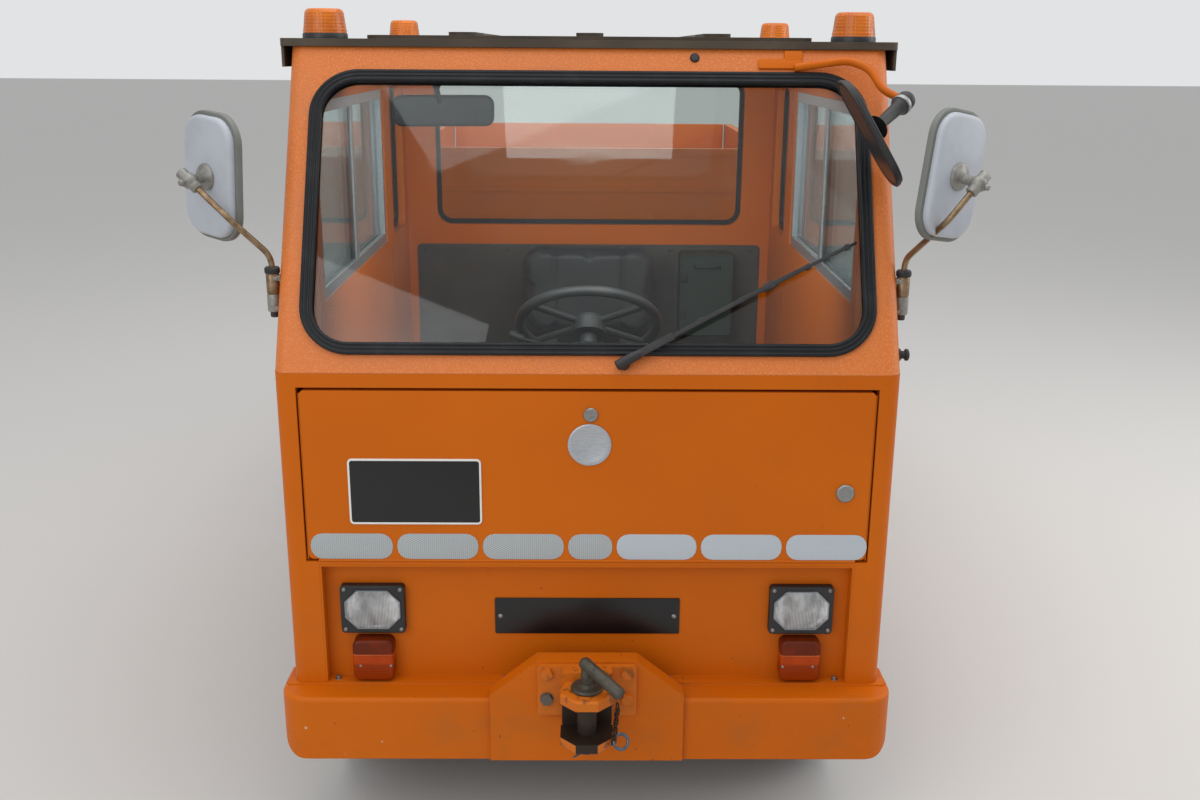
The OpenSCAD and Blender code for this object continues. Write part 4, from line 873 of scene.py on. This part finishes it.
# Indicators: banded amber lens with a raised bar and two screws
def makeIndicators():
    size = {"x": 453, "low": 373, "high": 466, "w": 86, "screws": (-37, 27)}
    tall = size["high"] - size["low"]
    amber = Finish("indicatorAmber", srgb(176, 64, 4), 0.24)
    height = (amber.axis(2) * 1000 - size["low"]) / tall
    amber.tint((1 - amber.ramp(height, 0.38, 0.46)) * 0.8, srgb(132, 48, 6))
    amber.tint(amber.ramp(height, 0.655, 0.67) * 0.95, srgb(88, 32, 12))
    # painted highlight: a pale line along the raised bar of the lens
    bar = 1 - amber.ramp((height - 0.648).distance(), 0.008, 0.018)
    amber.tint(bar * 0.5, srgb(208, 124, 74))
    amber.patches(srgb(140, 44, 6), 0.3, 0.4, 0.7, 40)
    amber.set("Specular IOR Level", 0.15)
    amber.set("Coat Weight", 0.06)
    amber.set("Coat Roughness", 0.08)
    amber.relief((amber.axis(0) * 1300).cos() * 0.5 + (amber.axis(2) * 1300).cos(), 0.25, 0.0005)
    amber.dull(0.2, 0.1, 40)

    def lens():
        shape = slab(size["w"], tall, 34, 14, 6)
        join(shape, slab(size["w"] - 16, 2.6, 2.4, 1, 0.6), Matrix.Translation((-2, 14, 33)))
        return shape

    lenses = Piece("indicatorLenses", "amber_lens", finish=amber.material)
    place = onFront(size["x"], (size["low"] + size["high"]) / 2, recessFace)
    lenses.addBoth(lens, place)
    screws = Piece("indicatorScrews", "steel")
    for x in size["screws"]:
        screws.addBoth(lambda: slotScrew(7), place @ shift(x, -12, 32.5))
    lenses.done("indicators")
    screws.done()


makeIndicators()


# Beacon-shaped roof lamps: dark foot, ribbed amber lens
def makeRoofLamps():
    size = {"x": 570, "rows": (474, 1640), "z": 1685}
    feet = Piece("roofLampFeet", "lamp_black")
    lenses = Piece("roofLampLenses", "amber_lens", sharp=50)

    def lens():
        shape = turned([(0, 10), (46, 10), (46.5, 15), (45, 20), (44, 26), (41, 52), (39, 58),
                        (34, 61.4), (20, 61.9), (0, 61.9)], 72)
        for vert in shape.verts:
            if 18 < vert.co.z < 55:
                angle = math.atan2(vert.co.y, vert.co.x)
                grown = 1 + 0.012 * math.cos(36 * angle)
                vert.co.x *= grown
                vert.co.y *= grown
        return shape

    for s in size["rows"]:
        place = standing(size["x"], s, size["z"])
        feet.addBoth(lambda: turned([(0, 0), (48, 0), (48, 8), (46, 12), (0, 12)], 48), place)
        lenses.addBoth(lens, place)
    feet.done()
    lenses.done("roof_lamps")


makeRoofLamps()


# Tail lamps: black base, red and amber lens, two screws
def makeTailLamps():
    size = {"x": 490, "z": 440, "s": 3200, "w": 150, "h": 92, "red": (88, 27),
            "amber": (50, -45), "screws": (-36, 40)}
    bases = Piece("tailLampBases", "lamp_black")
    reds = Piece("tailLampRed", "red_lens")
    ambers = Piece("tailLampAmber", "amber_lens")
    screws = Piece("tailLampScrews", "steel")
    for side in (-1, 1):
        at = facing(point(-side * size["x"], size["s"], size["z"]), (0, 1, 0))
        bases.add(slab(size["w"], size["h"], 12, 10, 2), at)
        for lens, (wide, x) in ((reds, size["red"]), (ambers, size["amber"])):
            lens.add(slab(wide, size["h"] - 8, 22, 8, 4), at @ shift(side * x, 0, 11.5))
        for x in size["screws"]:
            screws.add(slotScrew(8), at @ shift(side * x, 0, 33.2))
    bases.done("tail_lamps")
    finishAll(reds, ambers, screws)


makeTailLamps()
print("lamps")


# Rubber beads on both lips of each window seal
def makeSealBeads():
    size = {"screen": (1153, 605, 100), "rear": (1010, 486, 60), "quarter": (262, 460, 50),
            "beads": ((4, 5.2, 3.6), (12.5, 6.6, 2.2), (21, 5.2, 3.6))}
    beads = Piece("sealBeads", "seal_rubber", sharp=60)
    windows = [(onSlope(0, 340.5, 0), *size["screen"]),
               (facing(point(0, 1728, 1347), (0, 1, 0)), *size["rear"]),
               (facing(point(625, 1513, 1340), (1, 0, 0)), *size["quarter"]),
               (facing(point(-625, 1513, 1340), (-1, 0, 0)), *size["quarter"])]
    for place, wide, tall, radius in windows:
        for inset, out, thick in size["beads"]:
            path = roundPath(wide - 2 * inset, tall - 2 * inset, radius - inset)
            beads.add(pipe(path, thick, 3, True), place @ shift(0, 0, out))
    beads.done()


makeSealBeads()


# Wiper with a flat arm, a sprung carrier and a rubber blade
def makeWiper():
    size = {"pivot": (70, 22), "joint": (360, 179), "from": (205, 99), "to": (541, 274)}

    def spot(x, w, out):
        return onSlope(x, w, out).translation * 1000

    def bar(a, b, wide, thick, outA, outB):
        start, end = spot(*a, outA) / 1000, spot(*b, outB) / 1000
        along = end - start
        place = facing(start.lerp(end, 0.5), slopeOut, along)
        return slab(wide, along.length * 1000, thick, min(wide, 8) * 0.45, 0.5), place

    arm = Piece("wiperArm", "black_plastic")
    knee = tuple(a + (b - a) * 0.34 for a, b in zip(size["pivot"], size["joint"]))
    arm.add(*bar(size["pivot"], knee, 15, 6, 17, 20))
    arm.add(*bar(knee, size["joint"], 9, 3, 22, 16))
    arm.add(turned([(0, 0), (13, 0), (13, 9), (10, 14), (0, 16)], 28), onSlope(*size["pivot"], 0))
    tail, front = spot(*size["pivot"], 19) / 1000, spot(*knee, 21) / 1000
    arm.add(turned([(0, -17), (8, -17), (10, -15), (10.5, 10), (9, 34), (5, 40), (0, 40)], 24),
            facing(tail, front - tail))
    arm.add(slab(15, 24, 12, 3, 1.5), onSlope(*size["joint"], 8) @ turn(-62, "Z"))
    blade = Piece("wiperBlade", "seal_rubber")
    blade.add(*bar(size["from"], size["to"], 5, 5, 4.5, 4.5))
    blade.add(*bar(size["from"], size["to"], 2, 5, 0.6, 0.6))
    carrier = Piece("wiperCarrier", "black_plastic")
    reach = [tuple(a + (b - a) * share for a, b in zip(size["from"], size["to"]))
             for share in (0.06, 0.3, 0.5, 0.7, 0.94)]
    for first, second in ((reach[0], reach[1]), (reach[3], reach[4])):
        carrier.add(*bar(first, second, 7, 2.5, 9, 11))
    carrier.add(*bar(reach[1], reach[3], 9, 4, 11.5, 11.5))
    for near in reach:
        carrier.add(slab(12, 12, 6, 2, 1), onSlope(*near, 6) @ turn(27.5, "Z"))
    arm.done("wiper")
    finishAll(blade, carrier)


makeWiper()
print("windscreen")


# Coupling pins with collar and cross grip, and the front one's chain, ring and clip
def makeCouplings():
    size = {"front": (0, -78.5, 372), "rear": (0, 3266.5, 400), "grip": 108, "links": 8,
            "chain": ((61, -46, 50), (54, -31, -46))}
    shaft = [(0, -83), (15, -83), (20, -78), (20, 59.2), (31, 59.2), (33, 61), (33, 64), (31, 66.4),
             (19, 66.4), (16, 68), (12.5, 72), (12, 110), (9, 114), (0, 115)]
    end = size["grip"]
    grip = [(0, -4), (7, -2.6), (11.5, 1), (13, 6), (13, end - 6), (11.5, end - 1),
            (7, end + 1), (0, end + 2)]
    oiled = Finish("oiledIron", srgb(74, 71, 60), 0.42, 0.35)
    oiled.patches(srgb(46, 42, 36), 0.7, 0.45, 0.7, 60, 5)
    oiled.patches(srgb(112, 96, 74), 0.5, 0.64, 0.74, 110, 3)
    oiled.tint((1 - oiled.ramp(oiled.axis(2), 0.418, 0.424)) * 0.85, srgb(50, 36, 27))
    oiled.dull(0.34, 0.3, 70)
    oiled.relief(oiled.noise(300, 4), 0.35, 0.0007)
    blued = Finish("bluedSteel", srgb(92, 104, 112), 0.4, 0.7)
    blued.patches(srgb(72, 62, 54), 0.6, 0.5, 0.7, 80, 4)
    blued.dull(0.3, 0.2, 90)
    pins = Piece("couplingPins", "worn_iron", finish=oiled.material, sharp=40)
    front = standing(*size["front"])
    for place in (front, standing(*size["rear"]) @ turn(180, "Z")):
        pins.add(turned(shaft), place)
        pins.add(turned(grip), place @ shift(-9, 7, 117) @ turn(-40, "Z") @ turn(112, "Y"))
    pins.done("coupling_pins")

    chain = Piece("pinChain", "worn_iron")
    link = roundPath(9, 19, 4.4, 4)
    top, low = (Vector(spot) for spot in size["chain"])
    along = low - top
    for number in range(size["links"]):
        middle = top + along * ((number + 0.5) / size["links"])
        place = facing(Vector(), Vector((0.5, -1, 0)).cross(along), along).to_3x3().to_4x4()
        if number % 2:
            place = Matrix.Rotation(math.pi / 2, 4, along) @ place
        chain.add(pipe(link, 1.6, 2, True), front @ shift(*middle) @ place)
    chain.done()
    hoops = Piece("pinRing", "steel", finish=blued.material)
    hoop = [(15 * math.cos(step * math.pi / 16), 15 * math.sin(step * math.pi / 16), 0)
            for step in range(32)]
    hoops.add(pipe(hoop, 3.4, 3, True),
              front @ shift(69, -28, -44) @ turn(18, "Z") @ turn(62, "X"))
    clip = [(-16, 0, -71), (-30, -14, -66), (-42, -22, -60), (-47, -16, -64), (-36, -5, -71),
            (-16, 1, -74)]
    hoops.add(pipe(bentPath(clip, 4), 1.9, 2), front)
    hoops.add(pipe(bentPath([(0, -20, -70), (-12, -34, -67), (-27, -41, -72)], 5), 1.9, 2), front)
    hoops.done()


makeCouplings()


# Outside mirrors on their arms, and the inside mirror
def makeMirrors():
    size = {"w": 164, "h": 254, "r": 58, "turn": 38, "gap": 45, "reach": 146, "bracket": (641, 177),
            "low": 1137, "high": 1236,
            "arms": ((1, 46, 164, 9, 92, 0, 10), (-1, 8, 152, -5, 40, 6, 4))}
    silver = Finish("mirrorSilver", srgb(206, 212, 214), 0.05, 1.0)
    silver.dull(0.03, 0.05, 9)
    cast = Finish("castMetal", srgb(150, 148, 142), 0.5, 0.5)
    cast.patches(srgb(110, 104, 96), 0.6, 0.4, 0.7, 70, 4)
    cast.dull(0.4, 0.2, 90)
    cast.relief(cast.noise(380), 0.4, 0.0006, 0.001)
    rod = Finish("armMetal", srgb(150, 128, 100), 0.36, 0.8)
    rod.patches(srgb(104, 78, 54), 0.7, 0.4, 0.66, 60, 5)
    rod.dull(0.28, 0.25, 90)
    backs = Piece("mirrorBacks", "grey_plastic", sharp=50)
    rimFinish = makePlastic("rimPlastic", srgb(112, 114, 108), srgb(90, 92, 86), 0.45)
    rims = Piece("mirrorRims", "grey_plastic", finish=rimFinish)
    glass = Piece("mirrorGlass", "alu", finish=silver.material)
    arms = Piece("mirrorArms", "steel", finish=rod.material)
    clamps = Piece("mirrorClamps", "alu", finish=cast.material, sharp=45)
    pivots = Piece("mirrorPivots", "black_plastic")
    wide, tall, radius = size["w"], size["h"], size["r"]
    x, s = size["bracket"]
    low, high = size["low"], size["high"]
    reach, gap = size["reach"], size["gap"]
    turnTo = math.radians(size["turn"])
    bend = Vector((x, s, high + 25))
    for side, swing, rise, lean, bow, out, lift in size["arms"]:
        swing = math.radians(swing)
        clamp = bend + Vector((reach * math.cos(swing), -reach * math.sin(swing), rise))
        head = clamp + Vector((out - gap * math.sin(turnTo), gap * math.cos(turnTo), lift))
        # the rod bows forwards to pass the head
        knee = bend.lerp(clamp, 0.42) + Vector((0, -bow, 0.34 * bow))
        along = (clamp - knee).normalized()
        toHead = head - clamp

        def at(matrix):
            return matrix if side > 0 else mirrored(matrix)

        frameAt = standing(*head) @ turn(size["turn"], "Z") @ turn(lean, "Y")
        backs.add(slab(wide - 16, tall - 16, 17, radius - 8, 9, steps=8),
                  at(frameAt @ shift(0, 17, 0) @ toFront))
        rims.add(ring(wide, tall, 13, radius, 11, 3, steps=8),
                 at(frameAt @ shift(0, 27, 0) @ toFront))
        glass.add(slab(wide - 16, tall - 16, 2, radius - 8, 0.5, steps=8),
                  at(frameAt @ shift(0, 23.5, 0) @ toRear))
        clamps.add(turned([(0, -2), (27, -2), (27, 3), (24, 6.5), (14, 7.5), (11, 10),
                           (0, 10)], 40), at(frameAt @ toFront))
        clamps.add(turned([(0, 0), (10, 0), (10, toHead.length), (0, toHead.length)], 24),
                   at(facing(point(*clamp), toHead)))
        clamps.add(turned([(0, -16.5), (9, -14), (14.5, -8), (16.5, 0), (14.5, 8), (9, 14),
                           (0, 16.5)], 32), at(facing(point(*clamp), along)))
        clamps.add(turned([(0, -24), (10, -24), (12, -22), (12, 24), (10, 26), (0, 26)], 32),
                   at(facing(point(*clamp), along)))
        clamps.add(hexBolt(13, 8), at(facing(point(*(clamp - toHead.normalized() * 15)), -toHead)))
        route = bentPath([(x, s, high - 6), bend, knee, clamp], 22, 6)
        legs = [spot - bend for spot in route]
        arms.add(pipe([(side * leg.x, leg.y, leg.z) for leg in legs], 6.2, 4),
                 standing(side * bend.x, bend.y, bend.z))
        foot = at(standing(x, s, low))
        clamps.add(turned([(0, 12), (13, 12), (13.6, 14), (13.6, 46), (12.8, 47.5),
                           (0, 47.5)], 28), foot)
        arms.add(turned([(0, 47), (12, 47), (12, 49.5), (13.4, 50.5), (13.4, 88), (12.4, 90),
                         (0, 90)], 28), foot)
        pivots.add(turned([(0, 90), (14.5, 90), (15.5, 92), (15.5, 100), (13, 103),
                           (0, 103)], 28), foot)
        pivots.add(turned([(0, 0), (8, 0), (9, 1.5), (9, 13), (0, 13)], 24), foot)
        for z in (low + 19, low + 81):
            clamps.add(slab(17, 12, 17, 2, 1), at(facing(point(x - 16.5, s, z), (1, 0, 0))))
            clamps.add(hexBolt(9, 4), at(facing(point(x - 8, s - 8, z), (0, -1, 0))))
    inside = standing(-316, 440, 1537) @ turn(8, "Z")
    casing = Piece("insideMirrorBack", "lamp_black", sharp=50)
    casing.add(slab(218, 66, 20, 20, 7, steps=7), inside @ toFront)
    casing.add(pipe([(0, 0, 0), (-4, -44, 44), (-10, -74, 73)], 6, 4), standing(-320, 442, 1537))
    glass.add(slab(206, 54, 1.2, 16, 0.3, steps=7), inside @ toRear @ shift(0, 0, -0.9))
    backs.done("mirrors")
    finishAll(rims, glass, arms, clamps, pivots, casing)


makeMirrors()


# Round-ended mirror on its bent tube, over a corner of the windscreen
def makeRampMirror():
    size = {"ball": (641, 269, 1570), "plate": (555, 185, 1512), "w": 236, "h": 130, "r": 52,
            "turn": 58.3, "route": ((425, 347, 1633), (536, 341, 1648), (577, 325, 1632),
                                    (598, 292, 1591))}
    wide, tall, radius = size["w"], size["h"], size["r"]
    corner = Vector(size["ball"])
    ball = standing(*corner)
    neck = facing(point(*corner), Vector(size["plate"]) - corner)
    plate = standing(*size["plate"]) @ turn(size["turn"], "Y")
    tube = Piece("rampMirrorTube", "orange_paint", sharp=50)
    route = [Vector(spot) - corner for spot in (*size["route"], corner)]
    tube.add(pipe(bentPath(route, 20, 6), 8, 4), ball)
    tube.add(slab(92, 22, 5, 4, 1), onSlope(397, 662.8, 0))
    tube.add(slab(38, 21, 5, 4, 1), onSlope(425, 681.8, 0))
    head = Piece("rampMirrorHead", "black_plastic", sharp=45)
    head.add(turned([(0, -20), (8, -18.5), (15, -13), (19, -6), (20, 0), (19, 6), (15, 13),
                     (8, 18.5), (0, 20)], 32), ball)
    head.add(turned([(0, 8), (19, 8), (19, 22), (14, 30), (12, 92), (18, 104), (26, 112),
                     (0, 112)], 28), neck)
    head.add(slab(wide - 6, tall - 6, 12, radius - 3, 5, steps=8), plate @ shift(0, 0, -4))
    head.add(ring(wide, tall, 9, radius, 8, 2.5, steps=8), plate @ shift(0, 0, -7))
    nut = Piece("rampMirrorRing", "steel")
    nut.add(turned([(0, 10), (20.5, 10), (21.5, 12), (21.5, 19), (20.5, 21), (0, 21)], 32), neck)
    dim = Finish("dimMirror", srgb(84, 86, 88), 0.3, 0.7)
    dim.dull(0.26, 0.12, 12)
    face = Piece("rampMirrorGlass", "alu", finish=dim.material)
    face.add(slab(wide - 15, tall - 15, 1.6, radius - 7, 0.4, steps=8),
             plate @ shift(0, 0, -6.2))
    tube.done("ramp_mirror")
    finishAll(head, nut, face)


makeRampMirror()
print("mirrors")


# Small fittings on the front: seam filler, ledge bolts, plug, side buffer, lid edge
def makeFrontTrim():
    size = {"filler": (1284, 2.2, 18, 0.8), "lidEdge": (2.4, 356, 4, 0.8), "edgeX": 576.6,
            "bolts": (176, 532), "plug": (219, 676), "buffer": (625, 115, 1078)}
    trim = Piece("frontTrim", "orange_paint")
    trim.add(slab(*size["filler"]), onFront(0, 363, 84))
    for x in (-size["edgeX"], size["edgeX"]):
        trim.add(slab(*size["lidEdge"]), onFront(x, 829, 66))
    trim.done()
    bolts = Piece("ledgeBolts", "steel")
    for x in size["bolts"]:
        bolts.addBoth(lambda: hexBolt(11, 5), facing(point(x, 76, 368), (0, 0, 1), (0, 1, 0)))
    bolts.done()
    plugs = Piece("smallPlugs", "black_plastic")
    plugs.add(turned([(0, 0), (10, 0), (10, 2), (7, 5), (0, 5.5)], 24), onSlope(*size["plug"], 0))
    plugs.add(turned([(0, 0), (13, 0), (13, 4), (8, 7), (8, 13), (12, 15), (12, 20), (9, 22),
                      (0, 22)], 24), facing(point(*size["buffer"]), (1, 0, 0)))
    plugs.done()


makeFrontTrim()
print("front trim")


# Upholstery: an even skin swelled by a short cloth run, then sewn channels pressed in
def swell(obj, cap, within):
    size = {"skin": 0.006, "pressure": 4, "frames": 20}
    scene = bpy.context.scene

    def settled():
        graph = bpy.context.evaluated_depsgraph_get()
        return bpy.data.meshes.new_from_object(obj.evaluated_get(graph))

    even = obj.modifiers.new("even", "REMESH")
    even.mode = "VOXEL"
    even.voxel_size = size["skin"]
    obj.data = settled()
    obj.modifiers.clear()
    before = [vert.co.copy() for vert in obj.data.vertices]
    puff = obj.modifiers.new("puff", "CLOTH")
    puff.settings.use_pressure = True
    puff.settings.uniform_pressure_force = size["pressure"]
    puff.settings.effector_weights.gravity = 0
    for number in range(size["frames"]):
        scene.frame_set(number + 1)
    skin = settled()
    obj.modifiers.clear()
    scene.frame_set(1)
    for vert, start in zip(skin.vertices, before):
        move = vert.co - start
        if move.length > cap:
            move *= cap / move.length
        vert.co = within(start + move)
    obj.data = skin


def makeSeat():
    size = {"channels": (-105, 105), "depth": 0.005, "width": 0.006}
    low, back = 0.6906, (1493 + bumperY) / 1000
    parts = [
        ("seatCushion", "seat_cushion", slab(442, 392, 84, 54, 26), standing(0, 1245, 690.8),
         0.014, lambda spot: Vector((spot.x, spot.y, max(low, spot.z)))),
        ("seatBack", "seat_back", slab(424, 284, 62, 70, 22), onFront(0, 952, 1492.5),
         0.013, lambda spot: Vector((spot.x, min(back, spot.y), spot.z))),
    ]
    for name, node, shape, place, cap, within in parts:
        pad = Piece(name, "seat_cover", sharp=70)
        pad.add(shape, place)
        obj = pad.done(node)
        swell(obj, cap, within)
        for vert in obj.data.vertices:
            press = sum(math.exp(-((vert.co.x - at / 1000) / size["width"]) ** 2)
                        for at in size["channels"])
            vert.co = within(vert.co - vert.normal * size["depth"] * press)
        for face in obj.data.polygons:
            face.use_smooth = True
        smooth = obj.modifiers.new("smooth", "SUBSURF")
        smooth.levels = 1
        smooth.render_levels = 1


makeSeat()
print("seat")


# Cab inside: instruments, switches, lever, wheel boss, dark rear-wall panel and box fittings
def makeCabInside():
    size = {"gauges": ((0, 44), (-112, 31), (112, 31)), "ticks": 11,
            "gaugeRow": (380, 1024), "switches": (-230, -196, 196, 230, 264),
            "switchRow": (440, 972), "column": (0, 800, 985), "lean": -40,
            "panel": (1120, 548, 3, 16, 1), "panelAt": (0, 779, 1690),
            "box": (168, 262, 2.2, 13, 3, 0.6), "boxAt": (380, 902, 1600)}
    slant = (0, 0.371, 0.928)
    rims = Piece("gaugeRims", "lamp_black")
    marks = Piece("gaugeMarks", "grey_plastic")
    for x, radius in size["gauges"]:
        place = facing(point(x, *size["gaugeRow"]), slant, (0, -0.928, 0.371))
        rims.add(turned([(0, -2), (radius, -2), (radius, 7), (radius - 3, 9), (radius - 6, 6),
                         (radius - 6, 3), (0, 3)], 40), place)
        rims.add(turned([(0, 3), (5, 3), (5, 6.5), (0, 7)], 16), place)
        for step in range(size["ticks"]):
            around = turn(-135 + 27 * step, "Z")
            marks.add(slab(1.6, 6, 0.6, 0), place @ around @ shift(0, radius - 11, 3))
        marks.add(slab(2.2, radius * 0.6, 0.8, 0.6),
                  place @ turn(125, "Z") @ shift(0, radius * 0.28, 5))
    for x in size["switches"]:
        place = facing(point(x, *size["switchRow"]), (0, 0.955, 0.298))
        rims.add(slab(24, 36, 4, 3, 1), place)
        marks.add(slab(16, 26, 5, 2, 1.6), place @ shift(0, 0, 3.4))
    column = standing(*size["column"]) @ turn(size["lean"], "X")
    lever = Piece("turnLever", "black_plastic")
    lever.add(pipe(bentPath([(-30, 0, -60), (-120, 12, -52), (-176, 22, -30)], 20), 4.5, 3), column)
    lever.add(turned([(0, 0), (9, 0), (10, 4), (10, 34), (8, 39), (0, 40)], 20),
              column @ shift(-168, 20, -34) @ turn(-66, "Y"))
    boss = Piece("wheelBoss", "black_plastic", "hand_wheel", sharp=45)
    boss.add(turned([(0, 3), (40, 3), (43, 6), (43, 10), (36, 15), (14, 18.5), (0, 19)], 40),
             column)
    # dark panel with screws over the lower half of the rear wall
    panel = Piece("rearPanel", "dark_paint")
    panel.add(slab(*size["panel"]), onFront(*size["panelAt"]))
    for x in (-530, -265, 0, 265, 530):
        for z in (522, 1036):
            panel.add(slotScrew(12), onFront(x, z, 1687.2))
    box = Piece("aidBoxTrim", "black_plastic")
    place = onFront(*size["boxAt"])
    box.add(ring(*size["box"]), place)
    for y in (-60, 60):
        box.add(slab(22, 34, 6, 4, 1.5), place @ shift(-72, y, 1.4))
        box.add(slab(12, 20, 3, 2, 1), place @ shift(-72, y - 3, 6.4))
    handle = bentPath([(-40, 0, 0), (-40, 0, 16), (40, 0, 16), (40, 0, 0)], 8)
    box.add(pipe(handle, 4, 3), place @ shift(0, 96, 1))
    finishAll(rims, marks, lever, boss, panel, box)


makeCabInside()
print("cab inside")


# Doors: window seals, lock cylinders and a rubber strip down the rear edge
def makeDoorTrim():
    size = {"seal": (886, 441, 22), "sealAt": (626, 845, 1337.5), "edge": (-590, 586),
            "edgeAt": (624.2, 1325, 1000), "lockAt": (625, 1232, 992)}
    for side, hand in ((1, "Left"), (-1, "Right")):
        body = hand.lower() + "_door"

        def outward(x, s, z):
            return facing(point(side * x, s, z), (side, 0, 0))

        seal = Piece("doorSeal" + hand, "seal_rubber", body, sharp=60)
        seal.add(pipe(roundPath(*size["seal"]), 3.4, 3, True), outward(*size["sealAt"]))
        seal.add(pipe([(0, y, 0) for y in size["edge"]], 3, 3), outward(*size["edgeAt"]))
        x, s, z = size["lockAt"]
        lock = Piece("doorLock" + hand, "steel", body)
        lock.add(turned([(0, 0), (13, 0), (13, 2), (11, 4), (5, 4), (5, 3), (0, 3)], 28),
                 outward(x, s, z))
        lock.add(slab(2, 9, 1, 0.4), outward(x + 3.6, s, z))
        finishAll(seal, lock)


makeDoorTrim()


# Raised treads on the steps
def makeTreads():
    size = {"count": 29, "first": 863, "pitch": 30, "rows": (574, 598), "z": 393.8}
    treads = Piece("stepTreads", "dark_paint")
    for number in range(size["count"]):
        s = size["first"] + size["pitch"] * number
        for row, x in enumerate(size["rows"]):
            lean = 45 if (number + row) % 2 else -45
            place = standing(x, s, size["z"]) @ turn(lean, "Z")
            treads.addBoth(lambda: slab(24, 5.5, 2.4, 2.2, steps=1), place)
    treads.done()


makeTreads()


# Stud ends and a centre cap on each wheel
def makeStuds():
    size = {"count": 5, "reach": 60, "out": 34.5}
    for name, body, side, s in wheels:
        studs = Piece("studs" + name, "steel", body + "_wheel")
        for number in range(size["count"]):
            around = math.radians(360 / size["count"] * number)
            foot = point(side * (halfTrack + size["out"]), s - size["reach"] * math.sin(around),
                         axleHeight + size["reach"] * math.cos(around))
            studs.add(turned([(0, 0), (6.5, 0), (6.5, 9), (5, 10.5), (0, 10.5)], 16),
                      facing(foot, (side, 0, 0)))
        studs.add(turned([(0, 55.5), (26, 55.5), (30, 56.5), (26, 60), (10, 62), (0, 62)], 32),
                  facing(point(side * halfTrack, s, axleHeight), (side, 0, 0)))
        studs.done()


makeStuds()
print("doors, steps and wheels")
